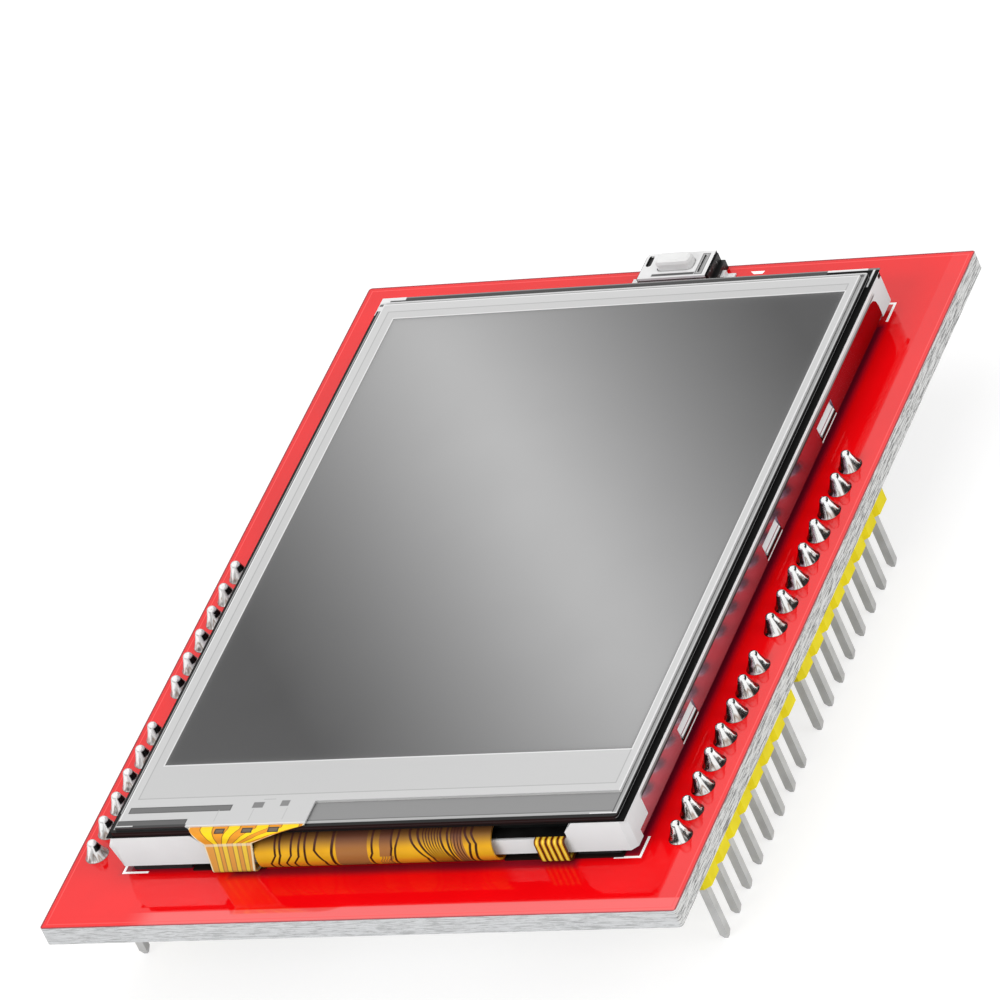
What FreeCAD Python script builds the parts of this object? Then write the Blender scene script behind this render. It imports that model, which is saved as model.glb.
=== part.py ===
import FreeCAD, Part
import math
import os

# A colour display with a touch panel on a plug-in board, in millimetres.
# X runs across the board towards its longer pin row, Y runs along it towards the reset button,
# and Z points out of the screen. The origin is under the middle of the board, at the pin tips.

# Pin rows
pitch = 2.54
row_clearance = 2.77
right_pin_count = 8
left_pin_count = 6
right_row_gap = 4.064
left_row_gap = 5.08
first_pin_inset = 7.725
pin_size = 0.64
pin_tip_size = 0.3
pin_tip_taper = 0.45
pin_below_housing = 5.8
pin_above_board = 1.4
housing_height = 2.5
housing_width = 2.5
housing_corner = 0.45
pin_hole_diameter = 1.02
solder_base_radius = 0.88
solder_waist_radius = 0.68
solder_top_radius = 0.48
solder_waist_height = 0.42
solder_height = 0.95

# Circuit board
right_edge_margin = 2.28
left_edge_margin = 1.74
end_margin = 5.69
board_thickness = 1.6
board_corner_radius = 0.25

# Display module
module_width = 42.72
module_length = 60.26
tape_thickness = 0.7
tray_sheet = 0.2
tray_wall_height = 2.1
tray_lip_height = 0.65
tray_front_inset = 3.13
tray_lip_inset = 1.45
tray_corner_inset = 2.33
tray_back_inset = 2.86
tray_bend_radius = 0.25
tray_wall_corner = 1.0
window_length = 3.3
window_height = 1.15
window_sill = 0.5
window_centres = [-17.7, 1.9, 14.9]
snap_length = 3.0
snap_height = 0.85
snap_reach = 0.1
snap_root = 0.3
frame_corner_bevel = 0.45
frame_side_wall = 0.95
frame_end_wall = 0.95
light_side_wall = 1.35
light_front_wall = 1.95
light_back_wall = 1.35
block_chamfer = 0.8
left_block_length = 7.86
right_block_length = 5.11
film_clearance = 0.1

# Light stack under the glass
reflector_thickness = 0.1
light_guide_thickness = 0.75
optical_film_thickness = 0.1
led_gap = 1.0
led_width = 3.8
led_depth = 0.7
led_height = 0.7
led_count = 4
led_side_inset = 0.71
strip_thickness = 0.15
strip_depth = 1.9
strip_tail_gap = 0.15
strip_tail_width = 2.4
strip_bend_radius = 0.25
strip_foot_length = 1.6

# Liquid crystal glass
polariser_thickness = 0.2
glass_thickness = 0.5
glass_clearance = 0.12
glass_ledge = 3.8
polariser_inset = 0.35
driver_length = 17.6
driver_width = 1.0
driver_height = 0.3
driver_ledge_gap = 0.45

# Display flex, folded over the front of the module and soldered to the board
flex_thickness = 0.15
flex_tail_gap = 0.7
flex_strip_gap = 3.4
flex_bond = 1.4
flex_fold_inset = 0.73
flex_plate_left_inset = 5.96
flex_plate_right_inset = 1.36
flex_plate_inset = 0.03
flex_plate_depth = 8.1
flex_joint_count = 37
flex_joint_pitch = 0.8
flex_joint_width = 0.4
flex_joint_length = 1.3
flex_joint_height = 0.2
flex_joint_inset = 0.6

# Touch panel
rim_tape_thickness = 0.1
rim_tape_inset = 0.04
rim_tape_width = 1.7
rim_tape_front_width = 5.9
ledge_tape_thickness = 0.05
ledge_tape_inset = 0.05
ledge_tape_bond = 1.0
touch_glass_thickness = 0.4
touch_glass_side_inset = 0.46
touch_glass_front_inset = 0.08
touch_glass_back_inset = 1.03
spacer_thickness = 0.1
touch_film_thickness = 0.12
film_side_inset = 0.5
film_back_inset = 0.5
film_front_inset = 0.2
film_step = 2.3
film_step_run = 9.7
touch_corner_radius = 0.3
view_side_inset = 1.1
view_back_inset = 1.14
view_front_inset = 7.35
tail_thickness = 0.1
tail_left_inset = 6.2
tail_bond = 2.1
tail_neck_inset = 1.25
tail_neck_width = 3.95
tail_neck_height = 3.2
tail_foot_inset = 0.8
tail_foot_width = 3.5
tail_reach = 0.6
tail_bend_radius = 0.4
tail_foot_length = 1.7

# Foam tape pads under the module
pad_width = 6.0
pad_inset = 0.9
pad_gap = 1.0
pad_back_inset = 2.5
front_pad_depth = 2.4
front_pad_inset = 0.35

# Reset switch
switch_offset_x = 1.93
switch_edge_gap = 0.05
switch_base_length = 6.8
switch_depth = 2.9
switch_base_height = 0.8
switch_well_length = 3.8
switch_well_depth = 2.25
switch_floor = 0.35
switch_cover_length = 5.8
switch_cover_sheet = 0.15
switch_cover_skirt = 0.85
switch_cover_top = 1.65
cover_slot_width = 0.3
cover_slot_length = 2.1
cover_slot_place = (2.25, 0.0)
cover_eye_width = 0.46
cover_eye_length = 1.3
cover_eye_place = (-2.48, 0.6)
plunger_length = 3.0
plunger_depth = 1.3
plunger_corner = 0.4
plunger_top = 2.5
plunger_clearance = 0.08
plunger_flange = 0.25
plunger_flange_height = 0.3
plunger_travel = 0.25
plunger_stem_radius = 0.5
plunger_edge = 0.3
plunger_edge_bow = 0.3
dome_diameter = 2.1
dome_sheet = 0.08
dome_end_gap = 0.05
dome_shoulder_share = 0.77
dome_shoulder_rise = 0.6
dome_crown_share = 0.36
lead_span = 8.8
lead_width = 0.8
lead_sheet = 0.15
lead_step_height = 0.5

# Card socket under the board
socket_width = 14.0
socket_length = 14.6
socket_height = 1.45
socket_sheet = 0.2
socket_edge_inset = 2.0
socket_mouth_setback = 0.6
insulator_plate = 0.45
card_width = 11.2
card_notch = 3.0
contact_count = 8
contact_pitch = 1.1
contact_width = 0.7
contact_sheet = 0.12
contact_reach = 5.5
contact_bow = 0.25
contact_bow_places = [0.2, 0.4, 0.6]
contact_tail = 0.9
insulator_clearance = 0.1

# Buffer chips, regulator and small parts under the board
chip_length = 6.5
chip_width = 4.4
chip_height = 0.9
chip_standoff = 0.1
chip_lead_pitch = 0.65
chip_lead_width = 0.24
chip_lead_sheet = 0.15
chip_lead_reach = 1.0
chip_lead_count = 10
chip_spacing = 13.0
chip_middle_y = -6.5
chip_edge_slope = 0.18
chip_lead_tuck = 0.2
lead_knee_share = 0.45
regulator_length = 6.5
regulator_width = 3.5
regulator_height = 1.6
regulator_x = -9.5
regulator_back_inset = 15.8
regulator_lead_pitch = 2.3
regulator_lead_width = 0.7
regulator_tab_width = 3.0
regulator_lead_sheet = 0.25
regulator_lead_reach = 1.75
capacitor_length = 2.0
capacitor_width = 1.25
capacitor_height = 0.9
resistor_length = 1.6
resistor_width = 0.8
resistor_height = 0.45
terminal_share = 0.2
regulator_capacitor_places = [(-6.5, -5.5), (-6.5, 0.0), (6.0, -3.0), (6.0, 3.0)]
chip_capacitor_gap = 1.3
resistor_count = 10
resistor_pitch = 1.9
resistor_row_x = 4.0
resistor_row_back_inset = 10.7

# How finely round forms are cut into flats
round_side_count = 12
corner_flat_count = 3

# Values worked out from the sizes above
row_spacing = module_width + 2 * row_clearance
board_width = row_spacing + right_edge_margin + left_edge_margin
board_length = module_length + 2 * end_margin
right_row_x = board_width / 2 - right_edge_margin
left_row_x = -board_width / 2 + left_edge_margin
first_pin_y = -board_length / 2 + first_pin_inset
board_bottom = pin_below_housing + housing_height
board_top = board_bottom + board_thickness
module_bottom = board_top + tape_thickness
light_floor = module_bottom + tray_sheet
light_top = light_floor + reflector_thickness + light_guide_thickness + 3 * optical_film_thickness
rear_glass_bottom = light_top + polariser_thickness
front_glass_bottom = rear_glass_bottom + glass_thickness
front_polariser_bottom = front_glass_bottom + glass_thickness
frame_top = front_polariser_bottom + polariser_thickness
touch_glass_bottom = frame_top + rim_tape_thickness
spacer_bottom = touch_glass_bottom + touch_glass_thickness
touch_film_bottom = spacer_bottom + spacer_thickness
module_half_width = module_width / 2
module_half_length = module_length / 2
strip_tail_right = module_half_width - right_block_length - strip_tail_gap
strip_tail_left = strip_tail_right - strip_tail_width
glass_half_width = module_half_width - frame_side_wall - glass_clearance
glass_front = -module_half_length + frame_end_wall + glass_clearance
glass_back = module_half_length - frame_end_wall - glass_clearance
front_glass_front = glass_front + glass_ledge
light_half_width = module_half_width - light_side_wall - film_clearance
led_pitch = 2 * (light_half_width - led_side_inset) / led_count
light_guide_front = -module_half_length + light_front_wall + led_gap
light_guide_back = module_half_length - light_back_wall - film_clearance
touch_half_width = module_half_width - touch_glass_side_inset
touch_front = -module_half_length + touch_glass_front_inset
touch_back = module_half_length - touch_glass_back_inset
film_half_width = touch_half_width - film_side_inset
film_front = touch_front + film_front_inset
tail_left = -film_half_width + tail_left_inset
film_step_x = tail_left + film_step_run
flex_left = tail_left + tail_foot_inset + tail_foot_width + flex_tail_gap
flex_right = strip_tail_left - flex_strip_gap
flex_plate_left = -module_half_width + flex_plate_left_inset
flex_plate_right = module_half_width - flex_plate_right_inset
film_back = touch_back - film_back_inset
view_front = film_front + view_front_inset
view_back = film_back - view_back_inset
view_half_width = film_half_width - view_side_inset
switch_y = board_length / 2 - switch_edge_gap - switch_depth / 2
regulator_y = board_length / 2 - regulator_back_inset
dome_rise = plunger_travel + dome_end_gap


def export(name, shape):
    shape.exportStep("parts/" + name + ".step")


def box(x0, x1, y0, y1, z0, z1):
    return Part.makeBox(x1 - x0, y1 - y0, z1 - z0, FreeCAD.Vector(x0, y0, z0))


def face_of(points):
    return Part.Face(Part.makePolygon([FreeCAD.Vector(*p) for p in points + points[:1]]))


def plate(points, z0, z1):
    """Upright prism over a flat outline of (x, y) points."""
    return face_of([(x, y, z0) for x, y in points]).extrude(FreeCAD.Vector(0, 0, z1 - z0))


def bar_along_x(points, x0, x1):
    """Prism along X over a section of (y, z) points."""
    return face_of([(x0, y, z) for y, z in points]).extrude(FreeCAD.Vector(x1 - x0, 0, 0))


def bar_along_y(points, y0, y1):
    """Prism along Y over a section of (x, z) points."""
    return face_of([(x, y0, z) for x, z in points]).extrude(FreeCAD.Vector(0, y1 - y0, 0))


def rounded_outline(x0, x1, y0, y1, radius):
    """Outline of a rectangle whose round corners are cut into short flats."""
    centres = [(x1 - radius, y1 - radius), (x0 + radius, y1 - radius),
               (x0 + radius, y0 + radius), (x1 - radius, y0 + radius)]
    points = []
    for quarter, (x, y) in enumerate(centres):
        for step in range(corner_flat_count + 1):
            turn = math.radians(90 * (quarter + step / corner_flat_count))
            points.append((x + radius * math.cos(turn), y + radius * math.sin(turn)))
    return points


def round_outline(radius):
    """Outline of a many-sided ring about the origin."""
    turns = [2 * math.pi * (n + 0.5) / round_side_count for n in range(round_side_count)]
    return [(radius * math.cos(turn), radius * math.sin(turn)) for turn in turns]


def stacked(levels):
    """Solid through level outlines with the same number of corners, given as (outline, z) pairs."""
    rings = [[(x, y, z) for x, y in outline] for outline, z in levels]
    faces = [face_of(rings[0]), face_of(rings[-1])]
    for low, high in zip(rings, rings[1:]):
        for n in range(len(low)):
            faces.append(face_of([low[n - 1], low[n], high[n], high[n - 1]]))
    shell = Part.makeShell(faces)
    shell.sewShape()
    return Part.makeSolid(shell)


def strip_side(start, heading, moves, offset, x):
    """Edges of a path of runs and bends in a YZ plane, shifted sideways by the offset."""
    turn = math.radians(heading)
    y = start[0] - offset * math.sin(turn)
    z = start[1] + offset * math.cos(turn)
    edges = []
    for kind, *sizes in moves:
        begin = FreeCAD.Vector(x, y, z)
        if kind == "run":
            y += sizes[0] * math.cos(turn)
            z += sizes[0] * math.sin(turn)
            edges.append(Part.LineSegment(begin, FreeCAD.Vector(x, y, z)).toShape())
        else:
            radius, angle = sizes[0], math.radians(sizes[1])
            reach = math.copysign(radius, angle) - offset
            middle_y = y - reach * math.sin(turn)
            middle_z = z + reach * math.cos(turn)
            stops = []
            for part_turn in (turn + angle / 2, turn + angle):
                y = middle_y + reach * math.sin(part_turn)
                z = middle_z - reach * math.cos(part_turn)
                stops.append(FreeCAD.Vector(x, y, z))
            turn += angle
            edges.append(Part.Arc(begin, stops[0], stops[1]).toShape())
    return edges


def bent_strip(start, heading, moves, thickness, x0, x1):
    """Sheet of even thickness that follows a path of runs and bends, as wide as x0 to x1."""
    left = strip_side(start, heading, moves, thickness / 2, x0)
    right = strip_side(start, heading, moves, -thickness / 2, x0)
    caps = []
    for end in (0, -1):
        ends = [side[end].valueAt(side[end].FirstParameter if end == 0 else side[end].LastParameter)
                for side in (left, right)]
        caps.append(Part.LineSegment(ends[0], ends[1]).toShape())
    outline = Part.Wire(Part.__sortEdges__(left + right + caps))
    return Part.Face(outline).extrude(FreeCAD.Vector(x1 - x0, 0, 0))


def row_starts(count, gap):
    """Y of the first pin of each of the two groups in a row."""
    return [first_pin_y, first_pin_y + (count - 1) * pitch + gap]


def pin_groups():
    """Name, x, first y and pin count of each header."""
    groups = []
    for side, x, count, gap in (("right", right_row_x, right_pin_count, right_row_gap),
                                ("left", left_row_x, left_pin_count, left_row_gap)):
        for place, y in zip(("front", "back"), row_starts(count, gap)):
            groups.append((side + "_" + place, x, y, count))
    return groups


def pin_shape():
    half, tip = pin_size / 2, pin_tip_size / 2
    top = board_top + pin_above_board
    section = [(-tip, 0), (tip, 0), (half, pin_tip_taper), (half, top - pin_tip_taper), (tip, top),
               (-tip, top), (-half, top - pin_tip_taper), (-half, pin_tip_taper)]
    return bar_along_x(section, -half, half).common(bar_along_y(section, -half, half))


def solder_shape():
    """Cone of solder round a pin, with the barrel that fills the plated hole."""
    hole = pin_hole_diameter / 2
    profile = [(hole, board_bottom), (hole, board_top), (solder_base_radius, board_top),
               (solder_waist_radius, board_top + solder_waist_height),
               (solder_top_radius, board_top + solder_height)]
    joint = stacked([(round_outline(r), z) for r, z in profile])
    half = pin_size / 2
    return joint.cut(box(-half, half, -half, half, board_bottom - 1, board_top + solder_height + 1))


def housing_shape(count):
    """Row of square cells with bevelled corners and a square hole for each pin."""
    half_w, half_p, bevel = housing_width / 2, pitch / 2, housing_corner
    cell = [(half_w - bevel, -half_p), (half_w, -half_p + bevel),
            (half_w, half_p - bevel), (half_w - bevel, half_p)]
    right = [(x, y + n * pitch) for n in range(count) for x, y in cell]
    left = [(-x, (count - 1) * pitch - y) for x, y in right]
    kept = [p for n, p in enumerate(right + left) if p != (right + left)[n - 1]]
    body = plate(kept, pin_below_housing, board_bottom)
    half = pin_size / 2
    holes = [box(-half, half, n * pitch - half, n * pitch + half, pin_below_housing - 1, board_bottom + 1)
             for n in range(count)]
    return body.cut(holes)


def along_row(shape, x, y, count):
    copies = []
    for n in range(count):
        copy = shape.copy()
        copy.translate(FreeCAD.Vector(x, y + n * pitch, 0))
        copies.append(copy)
    return copies


def make_headers():
    pin = pin_shape()
    solder = solder_shape()
    for name, x, y, count in pin_groups():
        housing = housing_shape(count)
        housing.translate(FreeCAD.Vector(x, y, 0))
        export("header_housing_" + name, housing)
        export("header_pins_" + name, Part.makeCompound(along_row(pin, x, y, count)))
        export("solder_joints_" + name, Part.makeCompound(along_row(solder, x, y, count)))


def make_board():
    outline = rounded_outline(-board_width / 2, board_width / 2, -board_length / 2, board_length / 2,
                              board_corner_radius)
    hole = plate(round_outline(pin_hole_diameter / 2), board_bottom - 1, board_top + 1)
    holes = []
    for name, x, y, count in pin_groups():
        holes += along_row(hole, x, y, count)
    export("circuit_board", plate(outline, board_bottom, board_top).cut(holes))


def wall_section(front, back, low, high):
    """Outline (y, z) of a tray side wall with its upper back corner rounded off by flats."""
    points = [(back, low), (front, low), (front, high)]
    for step in range(corner_flat_count + 1):
        turn = math.radians(90 * (1 - step / corner_flat_count))
        points.append((back - tray_wall_corner * (1 - math.cos(turn)),
                       high - tray_wall_corner * (1 - math.sin(turn))))
    return points


def tray_recess():
    """Room that the metal tray takes from the outside of the plastic frame."""
    inner = module_half_width - tray_sheet
    front = -module_half_length + tray_front_inset
    back = module_half_length - tray_corner_inset
    lip_front = front - (tray_front_inset - tray_lip_inset)
    room = []
    for side in (-1, 1):
        xs = sorted([side * inner, side * (module_half_width + 1)])
        section = wall_section(front, back, module_bottom - 1, module_bottom + tray_wall_height)
        room.append(bar_along_x(section, xs[0], xs[1]))
        room.append(box(xs[0], xs[1], lip_front, front + 1,
                        module_bottom - 1, module_bottom + tray_lip_height))
    room.append(box(-inner, inner, front, module_half_length - tray_sheet, module_bottom - 1, light_floor))
    wall = module_half_width - tray_back_inset
    room.append(box(-wall, wall, module_half_length - tray_sheet, module_half_length + 1,
                    module_bottom - 1, module_bottom + tray_wall_height))
    return room


def front_blocks_cut():
    """Gap between the two front blocks of the frame, where the flexes come through."""
    left = -module_half_width + left_block_length
    right = module_half_width - right_block_length
    top = frame_top + 1
    rise = frame_top - block_chamfer
    grow = block_chamfer + 1
    section = [(left, light_top), (right, light_top), (right, rise),
               (right + grow, top), (left - grow, top), (left, rise)]
    return bar_along_y(section, -module_half_length - 1, glass_front)


def snap_tab(y, side):
    """Wedge that clips into a window of the tray wall."""
    inner = module_half_width - tray_sheet
    low = module_bottom + window_sill + (window_height - snap_height) / 2
    tip = module_half_width + snap_reach
    root = inner - snap_root
    section = [(side * root, low), (side * tip, low), (side * inner, low + snap_height),
               (side * root, low + snap_height)]
    return bar_along_y(section, y - snap_length / 2, y + snap_length / 2)


def make_frame():
    body = box(-module_half_width, module_half_width, -module_half_length, module_half_length,
               module_bottom, frame_top)
    glass_x = module_half_width - frame_side_wall
    glass_y = module_half_length - frame_end_wall
    light_x = module_half_width - light_side_wall
    rooms = tray_recess()
    rooms.append(box(-glass_x, glass_x, -glass_y, glass_y, light_top, frame_top + 1))
    rooms.append(box(-light_x, light_x, -module_half_length + light_front_wall,
                     module_half_length - light_back_wall, light_floor, light_top + 1))
    rooms.append(front_blocks_cut())
    body = body.cut(rooms)
    corners = [e for e in body.Edges
               if abs(e.tangentAt(e.FirstParameter).z) > 0.9
               and abs(abs(e.CenterOfMass.x) - module_half_width) < 0.01
               and abs(abs(e.CenterOfMass.y) - module_half_length) < 0.01]
    body = body.makeChamfer(frame_corner_bevel, corners)
    tabs = [snap_tab(y, side) for y in window_centres for side in (-1, 1)]
    export("backlight_frame", body.fuse(tabs).removeSplitter())


def bend_corner(outer, side):
    """Section of what the tray's bend takes off a square corner at the outer face."""
    points = [(side * outer, module_bottom)]
    for step in range(corner_flat_count + 1):
        turn = math.radians(90 * step / corner_flat_count)
        across = side * (outer - tray_bend_radius * (1 - math.cos(turn)))
        points.append((across, module_bottom + tray_bend_radius * (1 - math.sin(turn))))
    return points


def make_tray():
    inner = module_half_width - tray_sheet
    front = -module_half_length + tray_front_inset
    back = module_half_length - tray_corner_inset
    wall_top = module_bottom + tray_wall_height
    back_wall = module_half_width - tray_back_inset
    sheet = box(-inner, inner, front, module_half_length - tray_sheet, module_bottom, light_floor)
    walls = []
    for side in (-1, 1):
        xs = sorted([side * inner, side * module_half_width])
        wall = bar_along_x(wall_section(front, back, module_bottom, wall_top), xs[0], xs[1])
        lip = box(xs[0], xs[1], front - (tray_front_inset - tray_lip_inset), front,
                  module_bottom, module_bottom + tray_lip_height)
        windows = []
        for y in window_centres:
            windows.append(box(xs[0] - 1, xs[1] + 1, y - window_length / 2, y + window_length / 2,
                               module_bottom + window_sill, module_bottom + window_sill + window_height))
        walls += [wall.cut(windows), lip]
    walls.append(box(-back_wall, back_wall, module_half_length - tray_sheet, module_half_length,
                     module_bottom, wall_top))
    bends = [bar_along_y(bend_corner(module_half_width, side), -module_half_length, module_half_length)
             for side in (-1, 1)]
    bends.append(bar_along_x(bend_corner(module_half_length, 1), -module_half_width, module_half_width))
    export("backlight_tray", sheet.fuse(walls).removeSplitter().cut(bends))


def make_light_stack():
    """Reflector, light guide and three films, one on the other inside the frame."""
    z = light_floor
    room_front = -module_half_length + light_front_wall + film_clearance
    names = [("reflector_sheet", reflector_thickness, room_front),
             ("light_guide", light_guide_thickness, light_guide_front),
             ("diffuser_film", optical_film_thickness, light_guide_front),
             ("prism_film_lower", optical_film_thickness, light_guide_front),
             ("prism_film_upper", optical_film_thickness, light_guide_front)]
    for name, thickness, front in names:
        layer = box(-light_half_width, light_half_width, front, light_guide_back, z, z + thickness)
        export(name, layer)
        z += thickness


def make_leds():
    """Side-lighting lamps in front of the light guide, and the strip that feeds them."""
    back = light_guide_front - film_clearance / 2
    lamps = []
    for n in range(led_count):
        x = (n - (led_count - 1) / 2) * led_pitch
        lamps.append(box(x - led_width / 2, x + led_width / 2, back - led_depth, back,
                         light_top - led_height, light_top))
    export("backlight_leds", Part.makeCompound(lamps))
    strip_z = light_top + strip_thickness / 2
    strip_half = (led_count * led_pitch) / 2 - film_clearance
    strip = box(-strip_half, strip_half, back - led_depth - film_clearance, back - led_depth + strip_depth,
                light_top, light_top + strip_thickness)
    outside = -module_half_length - strip_bend_radius - strip_thickness / 2 - film_clearance
    start_y = back - led_depth
    foot_z = board_top + flex_thickness + strip_thickness / 2
    moves = [("run", start_y - (outside + strip_bend_radius)), ("bend", strip_bend_radius, 90),
             ("run", strip_z - foot_z - 2 * strip_bend_radius), ("bend", strip_bend_radius, 90),
             ("run", strip_foot_length)]
    tail = bent_strip((start_y, strip_z), 180, moves, strip_thickness,
                      strip_tail_left, strip_tail_right)
    export("led_flex", strip.fuse(tail).removeSplitter())


def make_glass():
    polariser_x = glass_half_width - polariser_inset
    back = glass_back - polariser_inset
    front = light_guide_front + strip_depth + film_clearance
    export("rear_polariser", box(-polariser_x, polariser_x, front, back, light_top, rear_glass_bottom))
    export("rear_glass", box(-glass_half_width, glass_half_width, glass_front, glass_back,
                             rear_glass_bottom, front_glass_bottom))
    export("front_glass", box(-glass_half_width, glass_half_width, front_glass_front, glass_back,
                              front_glass_bottom, front_polariser_bottom))
    export("front_polariser", box(-polariser_x, polariser_x, front_glass_front + polariser_inset, back,
                                  front_polariser_bottom, frame_top))
    driver_back = front_glass_front - driver_ledge_gap
    driver = box(-driver_length / 2, driver_length / 2, driver_back - driver_width, driver_back,
                 front_glass_bottom, front_glass_bottom + driver_height)
    export("display_driver_chip", driver)


def make_display_flex():
    """Flex from the glass ledge, folded round the front bar, with its wide end on the board."""
    top = front_glass_bottom + flex_thickness / 2
    bottom = board_top + flex_thickness / 2
    fold_y = -module_half_length + flex_fold_inset
    start_y = glass_front + flex_bond
    plate_front = -module_half_length + flex_plate_inset
    moves = [("run", start_y - fold_y), ("bend", (top - bottom) / 2, 180), ("run", flex_plate_depth / 2)]
    fold = bent_strip((start_y, top), 180, moves, flex_thickness, flex_left, flex_right)
    low, high = board_top, board_top + flex_thickness
    wide = [box(flex_plate_left, flex_plate_right, fold_y, plate_front + flex_plate_depth, low, high),
            box(flex_plate_left, flex_left - film_clearance, plate_front, fold_y, low, high),
            box(flex_right + film_clearance, flex_plate_right, plate_front, fold_y, low, high)]
    export("display_flex", fold.fuse(wide).removeSplitter())
    middle = (flex_plate_left + flex_plate_right) / 2
    back = plate_front + flex_plate_depth - flex_joint_inset
    joints = []
    for n in range(flex_joint_count):
        x = middle + (n - (flex_joint_count - 1) / 2) * flex_joint_pitch - flex_joint_width / 2
        joints.append(box(x, x + flex_joint_width, back - flex_joint_length, back,
                          high, high + flex_joint_height))
    export("flex_solder_joints", Part.makeCompound(joints))


def make_touch_panel():
    side, end = module_half_width - rim_tape_inset, module_half_length - rim_tape_inset
    tape = box(-side, side, -end, end, frame_top, touch_glass_bottom)
    inside = side - rim_tape_width
    hole = box(-inside, inside, rim_tape_front_width - end, end - rim_tape_width,
               frame_top - 1, touch_glass_bottom + 1)
    export("rim_tape", tape.cut(hole))
    low = light_top + strip_thickness
    ledge = box(-module_half_width + left_block_length + film_clearance,
                module_half_width - right_block_length - film_clearance,
                -module_half_length + ledge_tape_inset, glass_front + ledge_tape_bond,
                low, low + ledge_tape_thickness)
    export("ledge_tape", ledge)
    glass = rounded_outline(-touch_half_width, touch_half_width, touch_front, touch_back,
                            touch_corner_radius)
    export("touch_glass", plate(glass, touch_glass_bottom, spacer_bottom))
    step_front = film_front + film_step
    outline = [(-film_half_width, film_front), (film_step_x, film_front), (film_step_x, step_front),
               (film_half_width, step_front), (film_half_width, film_back), (-film_half_width, film_back)]
    film_top = touch_film_bottom + touch_film_thickness
    export("touch_film", plate(outline, touch_film_bottom, film_top))
    ring = plate(outline, spacer_bottom, touch_film_bottom)
    low, high = spacer_bottom - 1, touch_film_bottom + 1
    window = box(-view_half_width, view_half_width, view_front, view_back, low, high)
    seat = box(tail_left - film_clearance, film_step_x + 1, film_front - 1,
               film_front + tail_bond + film_clearance, low, high)
    export("touch_spacer", ring.cut([window, seat]))


def make_touch_tail():
    """Tail bonded under the film, narrowing as it drops over the front edge to the board."""
    right = film_step_x - film_clearance
    top = spacer_bottom + tail_thickness / 2
    foot = board_top + flex_thickness + tail_thickness / 2
    start_y = film_front + tail_bond
    outside = -module_half_length - tail_reach
    moves = [("run", start_y - outside - tail_bend_radius), ("bend", tail_bend_radius, 90),
             ("run", top - foot - 2 * tail_bend_radius), ("bend", tail_bend_radius, 90),
             ("run", tail_foot_length)]
    sheet = bent_strip((start_y, top), 180, moves, tail_thickness, tail_left, right)
    # the cutting shape sinks towards the film, so that the level run narrows like the drop
    reach = start_y + 1 - outside
    neck = board_top + tail_neck_height
    neck_left, foot_left = tail_left + tail_neck_inset, tail_left + tail_foot_inset
    neck_right, foot_right = neck_left + tail_neck_width, foot_left + tail_foot_width
    shoulder = top + film_front - outside
    crest = top + reach + 1
    fan = [(tail_left, crest), (tail_left, shoulder), (neck_left, neck), (foot_left, board_top),
           (foot_right, board_top), (neck_right, neck), (right, shoulder), (right, crest)]
    front = face_of([(x, outside - tail_thickness, z) for x, z in fan])
    export("touch_tail", sheet.common(front.extrude(FreeCAD.Vector(0, reach, -reach))))


def make_tape_pads():
    back = module_half_length - pad_back_inset
    front = -module_half_length + flex_plate_inset + flex_plate_depth + pad_gap
    outer = module_half_width - pad_inset
    pads = []
    for side in (-1, 1):
        xs = sorted([side * outer, side * (outer - pad_width)])
        pads.append(box(xs[0], xs[1], front, back, board_top, module_bottom))
    near = -module_half_length + front_pad_inset
    clear = film_clearance * 2
    pads.append(box(-outer, flex_plate_left - clear, near, near + front_pad_depth,
                    board_top, module_bottom))
    pads.append(box(strip_tail_right + clear, flex_plate_right - clear, near,
                    near + front_pad_depth, board_top + flex_thickness, module_bottom))
    export("foam_tape_pads", Part.makeCompound(pads))


def at_switch(shape):
    shape.translate(FreeCAD.Vector(switch_offset_x, switch_y, board_top))
    return shape


def centred_box(length, depth, z0, z1):
    return box(-length / 2, length / 2, -depth / 2, depth / 2, z0, z1)


def make_switch_base(base_depth, base_top):
    base = centred_box(switch_base_length, base_depth, 0, switch_base_height)
    base = base.fuse(centred_box(switch_cover_length + 2 * switch_cover_sheet, base_depth, 0, base_top))
    well = centred_box(switch_well_length, switch_well_depth, switch_floor, base_top + 1)
    export("switch_base", at_switch(base.cut(well).removeSplitter()))


def make_switch_cover(base_depth, base_top):
    """Sheet metal cover with skirts, a mouth for the plunger and two slots."""
    cover = centred_box(switch_cover_length, switch_depth, base_top, switch_cover_top)
    for side in (-1, 1):
        ys = sorted([side * base_depth / 2, side * switch_depth / 2])
        cover = cover.fuse(box(-switch_cover_length / 2, switch_cover_length / 2, ys[0], ys[1],
                               switch_cover_top - switch_cover_skirt, base_top))
    mouth_x = plunger_length + 2 * plunger_clearance
    mouth_y = plunger_depth + 2 * plunger_clearance
    mouth = rounded_outline(-mouth_x / 2, mouth_x / 2, -mouth_y / 2, mouth_y / 2,
                            plunger_corner + plunger_clearance)
    holes = [plate(mouth, base_top - 1, switch_cover_top + 1)]
    for (x, y), width, length in ((cover_slot_place, cover_slot_width, cover_slot_length),
                                  (cover_eye_place, cover_eye_width, cover_eye_length)):
        slot = rounded_outline(x - width / 2, x + width / 2, y - length / 2, y + length / 2, width * 0.49)
        holes.append(plate(slot, base_top - 1, switch_cover_top + 1))
    export("switch_cover", at_switch(cover.cut(holes).removeSplitter()))


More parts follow.
